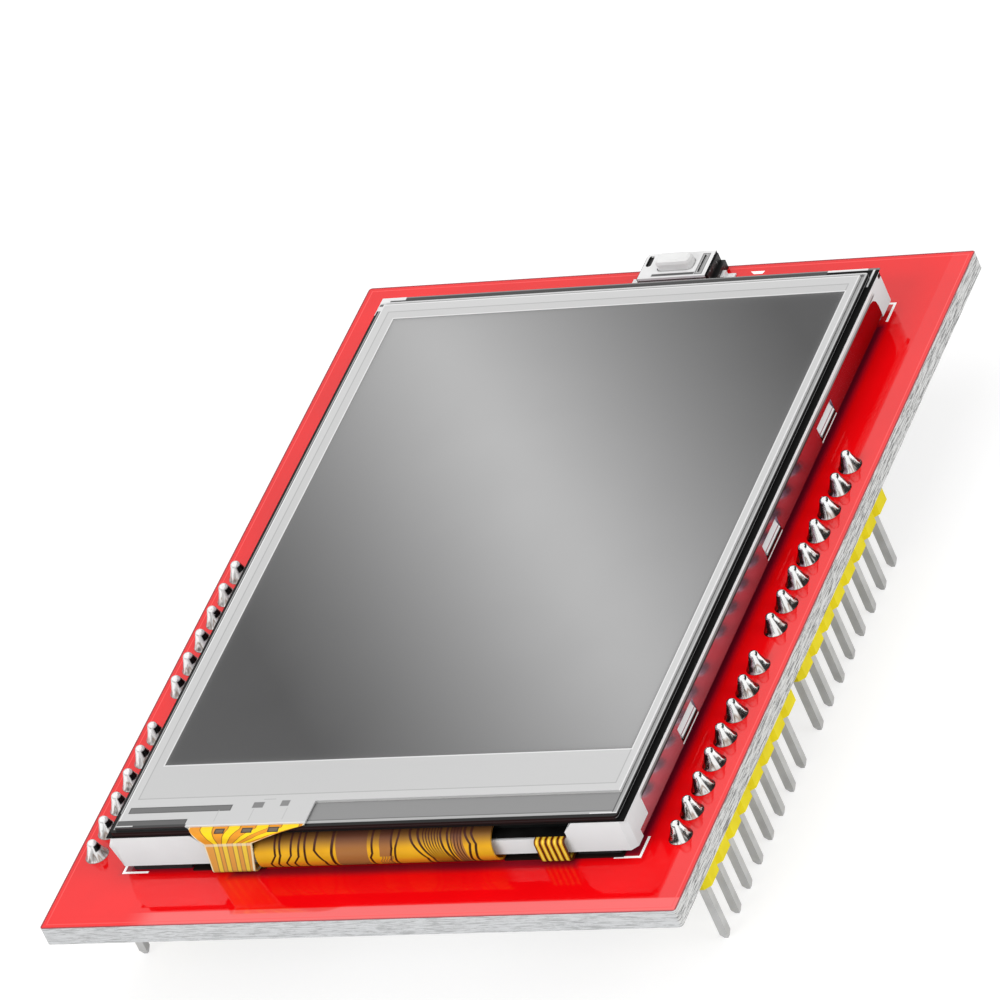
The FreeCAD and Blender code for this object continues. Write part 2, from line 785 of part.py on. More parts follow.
def make_switch_plunger(base_top):
    """Oblong button on a flange that the cover holds down, with a stem over the dome."""
    flange_top = base_top - plunger_clearance
    flange_bottom = flange_top - plunger_flange_height
    dome_top = switch_floor + dome_rise + dome_sheet
    half_x, half_y, edge = plunger_length / 2, plunger_depth / 2, plunger_edge
    bow = edge * plunger_edge_bow
    side, curve, crown = [rounded_outline(inset - half_x, half_x - inset, inset - half_y, half_y - inset,
                                          plunger_corner - inset) for inset in (0, bow, edge)]
    head = stacked([(side, flange_bottom), (side, plunger_top - edge), (curve, plunger_top - bow),
                    (crown, plunger_top)])
    flange = centred_box(plunger_length + 2 * plunger_flange, plunger_depth + 2 * plunger_flange,
                         flange_bottom, flange_top)
    stem = plate(round_outline(plunger_stem_radius), dome_top, flange_bottom)
    export("switch_plunger", at_switch(head.fuse([flange, stem]).removeSplitter()))


def make_switch():
    base_depth = switch_depth - 2 * switch_cover_sheet
    base_top = switch_cover_top - switch_cover_sheet
    make_switch_base(base_depth, base_top)
    make_switch_cover(base_depth, base_top)
    make_switch_plunger(base_top)


def make_dome():
    """Snap dome: a thin domed disc that stands on the floor of the switch's well."""
    rim = dome_diameter / 2
    shoulder, crown = rim * dome_shoulder_share, rim * dome_crown_share
    shoulder_z = switch_floor + dome_rise * dome_shoulder_rise
    crown_z = switch_floor + dome_rise
    profile = [(crown, crown_z), (shoulder, shoulder_z), (rim, switch_floor),
               (rim + dome_sheet, switch_floor), (shoulder + dome_sheet / 2, shoulder_z + dome_sheet),
               (crown, crown_z + dome_sheet)]
    export("switch_dome", at_switch(stacked([(round_outline(r), z) for r, z in profile])))


def make_switch_leads():
    half = lead_width / 2
    base_end = switch_base_length / 2
    knee = base_end + lead_sheet * 2
    leads = []
    for side in (-1, 1):
        under = lead_step_height - lead_sheet
        section = [(base_end, under), (knee - lead_sheet, under), (knee - lead_sheet, 0),
                   (lead_span / 2, 0), (lead_span / 2, lead_sheet), (knee, lead_sheet),
                   (knee, lead_step_height), (base_end, lead_step_height)]
        leads.append(bar_along_y([(side * x, z) for x, z in section], -half, half))
    export("switch_leads", at_switch(Part.makeCompound(leads)))


def make_card_socket():
    """Card socket under the front end, with its mouth to the front."""
    front = -board_length / 2 + socket_edge_inset
    back = front + socket_length
    half = socket_width / 2
    low = board_bottom - socket_height
    inner = half - socket_sheet
    shell = box(-half, half, front, back, low, board_bottom)
    shell = shell.cut(box(-inner, inner, front - 1, back + 1, low + socket_sheet, board_bottom + 1))
    notch = Part.makeCylinder(card_notch, socket_sheet + 1, FreeCAD.Vector(0, front, low - 0.5))
    export("card_socket_shell", shell.cut(notch))

    plate_x = inner - insulator_clearance
    plate_low = board_bottom - insulator_plate
    ins_front = front + socket_mouth_setback
    ins_back = back - socket_mouth_setback - contact_tail
    body = box(-plate_x, plate_x, ins_front, ins_back, plate_low, board_bottom)
    rails = []
    for side in (-1, 1):
        xs = sorted([side * card_width / 2, side * plate_x])
        rails.append(box(xs[0], xs[1], ins_front, ins_back, low + socket_sheet, plate_low))
    export("card_socket_insulator", body.fuse(rails).removeSplitter())

    sheet = contact_sheet
    face = plate_low
    tip = ins_back - contact_reach
    bow_start, bow_middle, bow_end = [tip + contact_reach * share for share in contact_bow_places]
    section = [(ins_back + contact_tail, board_bottom), (ins_back, board_bottom), (ins_back, face),
               (tip, face), (tip, face - sheet), (bow_start, face - sheet),
               (bow_middle, face - sheet - contact_bow), (bow_end, face - sheet),
               (ins_back + sheet, face - sheet),
               (ins_back + sheet, board_bottom - sheet), (ins_back + contact_tail, board_bottom - sheet)]
    contacts = []
    for n in range(contact_count):
        x = (n - (contact_count - 1) / 2) * contact_pitch
        contacts.append(bar_along_x(section, x - contact_width / 2, x + contact_width / 2))
    export("card_socket_contacts", Part.makeCompound(contacts))


def gull_lead(inside, outside, middle, sheet, width, side):
    """Lead under the board, from a body's side at depth middle to a foot on the board."""
    knee = inside + (outside - inside) * lead_knee_share
    section = [(inside, middle), (knee - sheet, middle), (knee - sheet, 0), (outside, 0), (outside, sheet),
               (knee, sheet), (knee, middle + sheet), (inside, middle + sheet)]
    return bar_along_y([(side * x, board_bottom - depth) for x, depth in section], -width / 2, width / 2)


def make_buffer_chips():
    for name, x in (("a", -chip_spacing / 2), ("b", chip_spacing / 2)):
        low = board_bottom - chip_standoff - chip_height
        high = board_bottom - chip_standoff
        half_x, half_y = chip_width / 2, chip_length / 2
        waist = (low + high) / 2
        slope = chip_edge_slope
        section = [(-half_x + slope, low), (half_x - slope, low), (half_x, waist), (half_x - slope, high),
                   (-half_x + slope, high), (-half_x, waist)]
        body = bar_along_y(section, -half_y, half_y)
        body.translate(FreeCAD.Vector(x, chip_middle_y, 0))
        export("buffer_chip_" + name, body)
        middle = board_bottom - waist - chip_lead_sheet / 2
        root, reach = half_x - chip_lead_tuck, half_x + chip_lead_reach
        leads = []
        for side in (-1, 1):
            for n in range(chip_lead_count):
                y = (n - (chip_lead_count - 1) / 2) * chip_lead_pitch
                lead = gull_lead(root, reach, middle, chip_lead_sheet, chip_lead_width, side)
                lead.translate(FreeCAD.Vector(x, chip_middle_y + y, 0))
                leads.append(lead.cut(body))
        export("buffer_chip_leads_" + name, Part.makeCompound(leads))


def make_regulator():
    low = board_bottom - chip_standoff - regulator_height
    half_x, half_y = regulator_width / 2, regulator_length / 2
    body = box(-half_x, half_x, -half_y, half_y, low, board_bottom - chip_standoff)
    middle = regulator_height / 2
    reach = half_x + regulator_lead_reach
    leads = [gull_lead(half_x, reach, middle, regulator_lead_sheet, regulator_tab_width, -1)]
    for n in (-1, 0, 1):
        lead = gull_lead(half_x, reach, middle, regulator_lead_sheet, regulator_lead_width, 1)
        lead.translate(FreeCAD.Vector(0, n * regulator_lead_pitch, 0))
        leads.append(lead)
    place = FreeCAD.Vector(regulator_x, regulator_y, 0)
    body.translate(place)
    export("regulator_body", body)
    group = Part.makeCompound(leads)
    group.translate(place)
    export("regulator_leads", group)


def small_part(x, y, length, width, height):
    """Body and two end caps of a small two-ended part that lies along X under the board."""
    cap = length * terminal_share
    low = board_bottom - height
    body = box(x - length / 2 + cap, x + length / 2 - cap, y - width / 2, y + width / 2, low, board_bottom)
    ends = []
    for side in (-1, 1):
        xs = sorted([x + side * length / 2, x + side * (length / 2 - cap)])
        ends.append(box(xs[0], xs[1], y - width / 2, y + width / 2, low, board_bottom))
    return body, ends


def make_small_parts():
    capacitors, resistors, ends = [], [], []
    places = [(regulator_x + x, regulator_y + y) for x, y in regulator_capacitor_places]
    lead_end = chip_spacing / 2 + chip_width / 2 + chip_lead_reach
    beside_chips = lead_end + chip_capacitor_gap + capacitor_length / 2
    places += [(side * beside_chips, chip_middle_y) for side in (-1, 1)]
    for x, y in places:
        body, caps = small_part(x, y, capacitor_length, capacitor_width, capacitor_height)
        capacitors.append(body)
        ends += caps
    for n in range(resistor_count):
        y = board_length / 2 - resistor_row_back_inset - n * resistor_pitch
        body, caps = small_part(resistor_row_x, y, resistor_length, resistor_width, resistor_height)
        resistors.append(body)
        ends += caps
    export("capacitors", Part.makeCompound(capacitors))
    export("resistors", Part.makeCompound(resistors))
    export("component_terminals", Part.makeCompound(ends))


os.makedirs("parts", exist_ok=True)
make_board()
make_headers()
make_frame()
make_tray()
make_light_stack()
make_leds()
make_glass()
make_display_flex()
make_touch_panel()
make_touch_tail()
make_tape_pads()
make_switch()
make_dome()
make_switch_leads()
make_card_socket()
make_buffer_chips()
make_regulator()
make_small_parts()
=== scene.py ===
import bpy
import bmesh
import math
import random
from mathutils import Matrix, Vector


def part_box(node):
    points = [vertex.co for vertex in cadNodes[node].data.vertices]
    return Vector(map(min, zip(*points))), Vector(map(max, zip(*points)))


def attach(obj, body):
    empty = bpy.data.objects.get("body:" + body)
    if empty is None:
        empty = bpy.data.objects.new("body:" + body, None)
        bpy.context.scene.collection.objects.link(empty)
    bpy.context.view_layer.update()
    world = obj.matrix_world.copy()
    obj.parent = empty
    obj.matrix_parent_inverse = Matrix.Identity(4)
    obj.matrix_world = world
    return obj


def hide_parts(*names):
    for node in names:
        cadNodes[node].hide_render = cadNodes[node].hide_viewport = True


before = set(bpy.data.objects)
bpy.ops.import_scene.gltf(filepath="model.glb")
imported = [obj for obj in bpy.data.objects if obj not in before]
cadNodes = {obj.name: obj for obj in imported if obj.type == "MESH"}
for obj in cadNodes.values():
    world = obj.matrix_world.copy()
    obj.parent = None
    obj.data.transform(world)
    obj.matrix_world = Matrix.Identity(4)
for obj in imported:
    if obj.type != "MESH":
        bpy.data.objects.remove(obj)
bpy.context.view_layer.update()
mm = 0.001
# a face looks along an axis where its normal passes this
squareOn = 0.5
print("frame loaded,", len(cadNodes), "nodes")

# camera: the angle, roll and lens that fit the pin grid seen in the photograph
cameraSetup = {
    "azimuth": 35.3557, "elevation": 34.8379, "roll": 24.9819,
    "place": (0.349773, -0.490133, 0.436456), "lens": 358.325, "sensor": 36.0, "reach": 20.0,
}


def aimCamera(setup):
    az, el, roll = (math.radians(setup[k]) for k in ("azimuth", "elevation", "roll"))
    look = Vector((-math.sin(az) * math.cos(el), math.cos(az) * math.cos(el), -math.sin(el)))
    right = look.cross(Vector((0, 0, 1))).normalized()
    down = look.cross(right)
    tiltedRight = math.cos(roll) * right + math.sin(roll) * down
    tiltedDown = math.cos(roll) * down - math.sin(roll) * right
    data = bpy.data.cameras.new("photoCamera")
    data.lens = setup["lens"]
    data.sensor_width = setup["sensor"]
    data.clip_end = setup["reach"]
    camera = bpy.data.objects.new("photoCamera", data)
    turn = Matrix((tiltedRight, -tiltedDown, -look)).transposed().to_4x4()
    camera.matrix_world = Matrix.Translation(Vector(setup["place"])) @ turn
    bpy.context.collection.objects.link(camera)
    bpy.context.scene.camera = camera
    return look


viewLine = aimCamera(cameraSetup)
bpy.context.scene.view_settings.view_transform = "Standard"
print("camera placed")


# a value is a socket that knows its tree, so that node maths reads as plain sums
class Value:
    def __init__(self, socket):
        self.socket, self.tree = socket, socket.id_data

    def __add__(self, other):
        return calc("ADD", self, other)

    def __sub__(self, other):
        return calc("SUBTRACT", self, other)

    def __rsub__(self, other):
        return calc("SUBTRACT", other, self)

    def __mul__(self, other):
        return calc("MULTIPLY", self, other)

    def __truediv__(self, other):
        return calc("DIVIDE", self, other)

    def __abs__(self):
        return calc("ABSOLUTE", self)

    def __gt__(self, other):
        return calc("GREATER_THAN", self, other)

    def __lt__(self, other):
        return calc("LESS_THAN", self, other)


def feed(source, target):
    # a value is linked, anything else is set; a single number on a colour socket is a grey
    if isinstance(source, Value):
        source.tree.links.new(source.socket, target)
    elif target.type == "RGBA":
        target.default_value = (*(source if isinstance(source, tuple) else (source,) * 3), 1.0)
    else:
        target.default_value = source


def addNode(tree, kind, **values):
    node = tree.nodes.new(kind)
    for key, value in values.items():
        if key in node.inputs:
            feed(value, node.inputs[key])
        else:
            setattr(node, key, value)
    return node


def calc(operation, first, second=0.0, clamp=False):
    tree = (first if isinstance(first, Value) else second).tree
    node = addNode(tree, "ShaderNodeMath", operation=operation, use_clamp=clamp)
    feed(first, node.inputs[0])
    feed(second, node.inputs[1])
    return Value(node.outputs[0])


def most(first, *others):
    for other in others:
        first = calc("MAXIMUM", first, other)
    return first


def least(first, *others):
    for other in others:
        first = calc("MINIMUM", first, other)
    return first


def mix(mask, first, second):
    # the first colour where the mask is 0, the second where it is 1
    node = addNode(mask.tree, "ShaderNodeMix", data_type="RGBA", Factor=mask)
    feed(first, node.inputs[6])
    feed(second, node.inputs[7])
    return Value(node.outputs[2])


def rampUp(value, start, end, low=0.0, high=1.0, kind="LINEAR"):
    node = addNode(value.tree, "ShaderNodeMapRange", interpolation_type=kind, Value=value)
    for label, number in (("From Min", start), ("From Max", end), ("To Min", low), ("To Max", high)):
        feed(number, node.inputs[label])
    return Value(node.outputs[0])


def softStep(value, start, end, low=0.0, high=1.0):
    return rampUp(value, start, end, low, high, "SMOOTHSTEP")


def edge(value, place, soft, low=0.0):
    # rises to 1 across a place; a negative softness makes it fall
    return softStep(value, place - soft, place + soft, low)


def between(value, low, high, soft):
    return edge(value, low, soft) * edge(value, high, -soft)


def parts(vector):
    return [Value(socket) for socket in addNode(vector.tree, "ShaderNodeSeparateXYZ", Vector=vector).outputs]


def noise(point, **values):
    return Value(addNode(point.tree, "ShaderNodeTexNoise", Vector=point, **values).outputs["Fac"])


def newMaterial(name, colour, roughness, **sockets):
    # gives the material, its shader's sockets, the point in millimetres and the normal
    material = bpy.data.materials.new(name)
    material.use_nodes = True
    tree = material.node_tree
    surface = tree.nodes["Principled BSDF"].inputs
    for key, value in {"Base_Color": colour, "Roughness": roughness, **sockets}.items():
        feed(value, surface[key.replace("_", " ")])
    coords = addNode(tree, "ShaderNodeTexCoord").outputs
    scale = addNode(tree, "ShaderNodeVectorMath", operation="SCALE", Scale=1 / mm)
    feed(Value(coords["Object"]), scale.inputs[0])
    return material, surface, Value(scale.outputs[0]), Value(coords["Normal"])


# shared shader groups
def newGroup(name, inputs, outputs):
    group = bpy.data.node_groups.new(name, "ShaderNodeTree")
    for label, value in inputs.items():
        kind = "NodeSocketVector" if value is None else "NodeSocketFloat"
        socket = group.interface.new_socket(name=label, in_out="INPUT", socket_type=kind)
        if value is not None:
            socket.default_value = value
    for label in outputs:
        group.interface.new_socket(name=label, in_out="OUTPUT", socket_type="NodeSocketFloat")
    given = {socket.name: Value(socket) for socket in group.nodes.new("NodeGroupInput").outputs}
    return group, given, group.nodes.new("NodeGroupOutput").inputs


def placeGroup(group, **values):
    tree = next(value.tree for value in values.values() if isinstance(value, Value))
    node = addNode(tree, "ShaderNodeGroup", node_tree=group, **values)
    return {socket.name: Value(socket) for socket in node.outputs}


def giveMasks(given, out, depth):
    # inside and outline of a shape, from the depth inside its edge
    feed(calc("ADD", depth / given["Soft"], 0.5, clamp=True), out["Inside"])
    feed(calc("ADD", (given["Line"] * 0.5 - abs(depth)) / given["Soft"], 0.5, clamp=True), out["Outline"])


def makeRectGroup():
    # an upright rectangle, in millimetres
    sizes = {"Point": None, "Left": 0.0, "Right": 1.0, "Front": 0.0, "Back": 1.0, "Soft": 0.05, "Line": 0.1}
    group, given, out = newGroup("rectangleMask", sizes, ("Inside", "Outline"))
    x, y, z = parts(given["Point"])
    giveMasks(given, out, least(x - given["Left"], given["Right"] - x, y - given["Front"], given["Back"] - y))
    return group


def makeFinishGroup():
    # gentle change of gloss and a fine surface height, by position
    sizes = {"Point": None, "Scale": 1.0, "Low": 0.2, "High": 0.3, "Fine": 8.0}
    group, given, out = newGroup("surfaceFinish", sizes, ("Rough", "Height", "Tone"))
    cloud = noise(given["Point"], Scale=given["Scale"], Detail=3.0)
    feed(cloud * (given["High"] - given["Low"]) + given["Low"], out["Rough"])
    feed(noise(given["Point"], Scale=given["Fine"], Detail=2.0), out["Height"])
    feed(cloud, out["Tone"])
    return group


def makeRunGroup():
    # one conductor of a flex: where it is and how wide at the top, at its bend and at the foot
    sizes = {"Across": 0.0, "Along": 0.0}
    for label, level in (("Top", 3.0), ("Bend", 2.0), ("Foot", 1.0)):
        sizes.update({label: level, label + "Place": 0.0, label + "Width": 0.15})
    sizes.update({"From": -100.0, "To": 100.0, "Soft": 0.05, "Line": 0.06})
    group, given, out = newGroup("flexRun", sizes, ("Inside", "Outline"))
    along = given["Along"]
    run = {"Place": given["FootPlace"], "Width": given["FootWidth"]}
    for low, high in (("Foot", "Bend"), ("Bend", "Top")):
        rise = rampUp(along, given[low], given[high])
        for kind in run:
            run[kind] += (given[high + kind] - given[low + kind]) * rise
    depth = run["Width"] * 0.5 - abs(given["Across"] - run["Place"])
    giveMasks(given, out, least(depth, along - given["From"], given["To"] - along))
    return group


rectGroup = makeRectGroup()
finishGroup = makeFinishGroup()
runGroup = makeRunGroup()
print("shader groups made")


def rectangle(point, left, right, front, back, soft=0.06, line=0.0):
    return placeGroup(rectGroup, Point=point, Left=left, Right=right, Front=front, Back=back, Soft=soft, Line=line)


def paintLayers(point, colour, layers, soft=0.06):
    # each row is a rectangle in millimetres and its grey level; a last number is the width of a line round it
    for left, right, front, back, level, *line in layers:
        masks = rectangle(point, left, right, front, back, soft, *line)
        colour = mix(masks["Outline" if line else "Inside"], colour, level)
    return colour


def addFinish(surface, point, scale, low, high, fine, depth):
    # roughness drifts from low to high in clouds; fine and depth are a grain's scale and its height
    finish = placeGroup(finishGroup, Point=point, Scale=scale, Low=low, High=high, Fine=fine)
    feed(finish["Rough"], surface["Roughness"])
    if depth:
        bump = addNode(point.tree, "ShaderNodeBump", Strength=1.0, Distance=depth * mm, Height=finish["Height"])
        feed(Value(bump.outputs[0]), surface["Normal"])
    return finish


def tint(finish, first, second):
    # drifts between two close shades
    return mix(rampUp(finish["Tone"], 0.35, 0.65), first, second)


def simpleFinish(name, first, second, low, high, scale=0.6, fine=9.0, depth=0.004, **sockets):
    material, surface, point, normal = newMaterial(name, first, low, **sockets)
    feed(tint(addFinish(surface, point, scale, low, high, fine, depth), first, second), surface["Base Color"])
    return material


def dress(material, *names):
    for name in names:
        mesh = cadNodes[name].data
        mesh.materials.clear()
        mesh.materials.append(material)


def softenEdges(width, segments, *names):
    for name in names:
        bevel = cadNodes[name].modifiers.new("edge", "BEVEL")
        bevel.width = width * mm
        bevel.segments = segments
        bevel.limit_method = "ANGLE"
        bevel.angle_limit = math.radians(40)
        bevel.harden_normals = True


def nodeNames(start):
    return sorted(name for name in cadNodes if name.startswith(start))


def addPiece(name, build, material, body="board", smooth=False):
    mesh = bpy.data.meshes.new(name)
    bm = bmesh.new()
    build(bm)
    bmesh.ops.remove_doubles(bm, verts=bm.verts, dist=1e-7)
    bmesh.ops.recalc_face_normals(bm, faces=bm.faces)
    bm.to_mesh(mesh)
    bm.free()
    mesh.materials.append(material)
    piece = bpy.data.objects.new(name, mesh)
    bpy.context.collection.objects.link(piece)
    if smooth:
        mesh.shade_smooth()
    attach(piece, body)
    return piece


def addRing(bm, outline, level):
    return [bm.verts.new((x * mm, y * mm, level * mm)) for x, y in outline]


def closeRings(bm, rings):
    # closed skin over rings of corners, from the lowest to the highest
    for low, high in zip(rings, rings[1:]):
        for n in range(len(low)):
            m = (n + 1) % len(low)
            bm.faces.new([low[n], low[m], high[m], high[n]])
    bm.faces.new(list(reversed(rings[0])))
    bm.faces.new(rings[-1])


# circuit board
boardLook = {
    "red": (0.88, 0.002, 0.004), "deepRed": (0.80, 0.0015, 0.0035), "bounce": (0.25, 0.235, 0.235),
    "fibre": (0.61, 0.62, 0.63), "fibreDark": (0.36, 0.365, 0.37), "sideFibre": (0.72, 0.72, 0.71),
    "sideFibreDark": (0.12, 0.12, 0.12), "stretch": (0.38, 0.38, 5.2), "fibreSpan": (0.42, 0.53), "edgeRough": 0.6,
    "finish": (0.12, 0.03, 0.09, 0.9, 0.0012),
    "rimInset": 0.42, "rimLine": 0.08, "rimPale": (1.0, 0.06, 0.06),
    "edgeInset": 0.05, "edgeLine": 0.14, "edgeDark": (0.30, 0.004, 0.012),
    "shade": (0.21, 0.0050, 0.0200), "shadeStart": -0.62, "shadeReach": 0.37, "shadeBack": 27.2,
    "backFade": 0.8, "footInside": 0.6, "footOutside": 0.4, "frontStart": -0.2,
    "frontShade": (0.28, 0.0060, 0.0150), "frontReach": 0.55, "frontFade": 0.70, "frontMiddle": 2.2, "frontHalf": 14.0,
    "gloss": 0.56, "glossLeft": (-12.0, -8.0), "glossBehind": (27.9, 27.5), "glossSlant": 0.6, "glossBack": 39.0,
    "slantSoft": 0.2, "edgeGloss": 0.78, "glossRight": 24.28, "rightSoft": 0.1, "glossFront": -34.42,
    "frontSoft": 0.08, "paleLeft": (-19.5, -16.5), "frontPaintedSheen": (0.88, 0.085, 0.085),
}


def makeBoardMaterial(look):
    material, surface, point, normal = newMaterial("solderMask", look["red"], 0.06, Specular_IOR_Level=0.13,
                                                   Coat_IOR=1.6, Coat_Roughness=0.05)
    finish = addFinish(surface, point, *look["finish"])
    x, y, z = parts(point)
    across, forward, upward = parts(normal)
    # weak gloss where the board mirrors the display, strong gloss along its right and front edges
    right = edge(x, look["glossRight"], look["rightSoft"])
    front = edge(y, look["glossFront"], -look["frontSoft"]) * softStep(x, *look["paleLeft"])
    near = softStep(x, *look["glossLeft"]) * softStep(y, *look["glossBehind"])
    near *= edge(x + y * look["glossSlant"], look["glossBack"], -look["slantSoft"])
    feed(most((1.0 - near) * look["gloss"], front, right * look["edgeGloss"]), surface["Coat Weight"])
    # the front band is also painted pale pink, a painted reflection
    red = mix(front, tint(finish, look["red"], look["deepRed"]), look["frontPaintedSheen"])
    (x0, y0, _), (x1, y1, _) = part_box("circuit_board")
    for kind, tone in (("rim", "rimPale"), ("edge", "edgeDark")):
        inset, line = look[kind + "Inset"], look[kind + "Line"]
        masks = rectangle(point, x0 / mm + inset, x1 / mm - inset, y0 / mm + inset, y1 / mm - inset, line=line)
        red = mix(masks["Outline"], red, look[tone])
    # the shade that gathers round the foot of the display
    low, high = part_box("backlight_frame")
    frontEdge = low[1] / mm
    lit = most(softStep(abs(x) - high[0] / mm, look["shadeStart"], look["shadeReach"]),
               softStep(y, look["shadeBack"], look["shadeBack"] + look["backFade"]),
               softStep(y, frontEdge + look["footInside"], frontEdge - look["footOutside"]))
    red = mix(lit, look["shade"], red)
    away = most(frontEdge - look["frontReach"] - y, abs(x - look["frontMiddle"]) - look["frontHalf"])
    red = mix(most(softStep(away, look["frontStart"], look["frontFade"]), y > frontEdge), look["frontShade"], red)
    # glass fibre on the cut edges; the edges facing along x get a lighter and darker copy of it, painted light and
    # shade
    stretch = addNode(point.tree, "ShaderNodeMapping", Vector=point, Scale=look["stretch"])
    fibres = noise(Value(stretch.outputs[0]), Scale=1.7, Detail=6.0, Roughness=0.75, Distortion=0.6)
    fibres = rampUp(fibres, *look["fibreSpan"])
    cut = mix(abs(across) > squareOn, mix(fibres, look["fibreDark"], look["fibre"]),
              mix(fibres, look["sideFibreDark"], look["sideFibre"]))
    flat = abs(upward) > squareOn
    # light that the board throws on its neighbours is kept close to neutral, as the photograph shows
    thrown = Value(addNode(point.tree, "ShaderNodeLightPath").outputs["Is Diffuse Ray"])
    feed(mix(thrown, mix(flat, cut, red), look["bounce"]), surface["Base Color"])
    feed(most(finish["Rough"], (1.0 - flat) * look["edgeRough"]), surface["Roughness"])
    return material


dress(makeBoardMaterial(boardLook), "circuit_board")
softenEdges(0.05, 2, "circuit_board")

# white printed marks on the board: corners of the display's place and a small mark by the button
markSize = {"arm": 2.2, "width": 0.2, "lift": 0.012, "x": 21.42, "y": 30.2,
            "button": [(7.83, 34.62), (8.55, 34.62), (8.67, 34.94), (7.46, 34.96)]}
# the marks glow a little, a painted light that keeps them white in the module's shade
glowingSilkWhite = simpleFinish("silkscreenGlow", (0.96, 0.96, 0.95), (0.90, 0.90, 0.89), 0.35, 0.5,
                         Emission_Color=1.0, Emission_Strength=0.2)
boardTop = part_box("circuit_board")[1][2] / mm


def buildMarks(bm):
    arm, width = markSize["arm"], markSize["width"]
    outlines = []
    for sideX in (-1, 1):
        for sideY in (-1, 1):
            x, y = sideX * markSize["x"], sideY * markSize["y"]
            inX, inY = x - sideX * width, y - sideY * width
            endX, endY = x - sideX * arm, y - sideY * arm
            outlines.append([(x, y), (endX, y), (endX, inY), (inX, inY), (inX, endY), (x, endY)])
    for outline in outlines + [markSize["button"]]:
        closeRings(bm, [addRing(bm, outline, level) for level in (boardTop, boardTop + markSize["lift"])])


addPiece("printedMarks", buildMarks, glowingSilkWhite)
print("board done")

# pin headers
headerLook = {"yellow": (0.95, 0.80, 0.015), "deep": (0.86, 0.71, 0.012)}
pinLook = {"metal": (0.60, 0.60, 0.60), "shade": (0.52, 0.52, 0.515)}
yellowPlastic = simpleFinish("yellowPlastic", headerLook["yellow"], headerLook["deep"], 0.5, 0.6, scale=0.5,
                             depth=0.003, Specular_IOR_Level=0.15)
tinnedPin = simpleFinish("tinnedPin", pinLook["metal"], pinLook["shade"], 0.3, 0.42, scale=0.7, fine=4.0,
                         depth=0.002, Metallic=0.25, Specular_IOR_Level=0.3)
dress(yellowPlastic, *nodeNames("header_housing"))
dress(tinnedPin, *nodeNames("header_pins"))
softenEdges(0.12, 3, *nodeNames("header_housing"))
softenEdges(0.09, 3, *nodeNames("header_pins"))

# solder cones, one turned form per pin with its own small flutes
coneShape = {
    "profile": [(0.0, 0.93), (0.03, 0.90), (0.10, 0.845), (0.22, 0.775), (0.36, 0.71), (0.50, 0.65), (0.64, 0.585),
                (0.78, 0.525), (0.92, 0.475), (1.05, 0.425), (1.18, 0.385), (1.28, 0.345), (1.36, 0.28),
                (1.405, 0.19), (1.42, 0.08)],
    "steps": 48, "flute": 0.044, "fluteCounts": (3, 5, 8, 11, 13), "fluteFrom": 0.06, "fluteTo": 1.25,
    "foot": 0.02, "lean": 0.03, "seed": 7,
}
solderLook = {
    "base": (0.86, 0.85, 0.84), "finish": (1.1, 0.10, 0.22, 2.0, 0.012), "flank": (0.42, 0.78),
    "paintedPatchGrey": 0.006, "patchSoft": 0.05, "turnSoft": 0.08,
    # grey levels of the painted highlights and shade along the flutes, dark at the foot
    "paintedFluteStops": [(0.0, (0.10, 0.095, 0.09)), (0.22, (0.30, 0.28, 0.27)), (0.38, (0.80, 0.79, 0.78)),
                (0.52, (0.42, 0.33, 0.28)), (0.62, (0.88, 0.87, 0.86)), (1.0, (0.95, 0.95, 0.95))],
}


def makeSolderMaterial(name, look, metal, paintedFlankGrey, patch=None):
    material, surface, point, normal = newMaterial(name, look["base"], 0.12, Metallic=metal)
    addFinish(surface, point, *look["finish"])
    # bright and dark streaks along the flutes and a dark foot: painted highlights and painted shade
    paintedFluteLight = addNode(point.tree, "ShaderNodeAttribute", attribute_name="paintedFluteLight")
    band = addNode(point.tree, "ShaderNodeValToRGB", Fac=Value(paintedFluteLight.outputs["Fac"]))
    stops = band.color_ramp.elements
    while len(stops) < len(look["paintedFluteStops"]):
        stops.new(0.5)
    for stop, (place, colour) in zip(stops, look["paintedFluteStops"]):
        stop.position = place
        stop.color = (*colour, 1.0)
    # the flanks that turn away from the eye are painted grey, a painted reflection of the dark side of the room
    turned = Value(addNode(point.tree, "ShaderNodeLayerWeight", Blend=0.5).outputs["Facing"])
    tone = mix(softStep(turned, *look["flank"]), Value(band.outputs[0]), paintedFlankGrey)
    # a dark patch painted on the flank, a painted reflection
    if patch:
        dark = between(parts(point)[2] - boardTop, patch["low"], patch["high"], look["patchSoft"])
        dark *= edge(parts(normal)[0], patch["turn"], look["turnSoft"])
        tone = mix(dark, tone, look["paintedPatchGrey"])
    feed(tone, surface["Base Color"])
    return material


# the joints on the left get a paler copy of the solder, a painted reflection of the bright side of the room, with a
# dark patch on the flank, a painted reflection of the dark display beside it
brightSolder = makeSolderMaterial("brightSolder", solderLook, 1.0, 0.02)
paleSolder = makeSolderMaterial("paleSolder", solderLook, 0.45, 0.42, {"low": 0.70, "high": 1.17, "turn": 0.56})


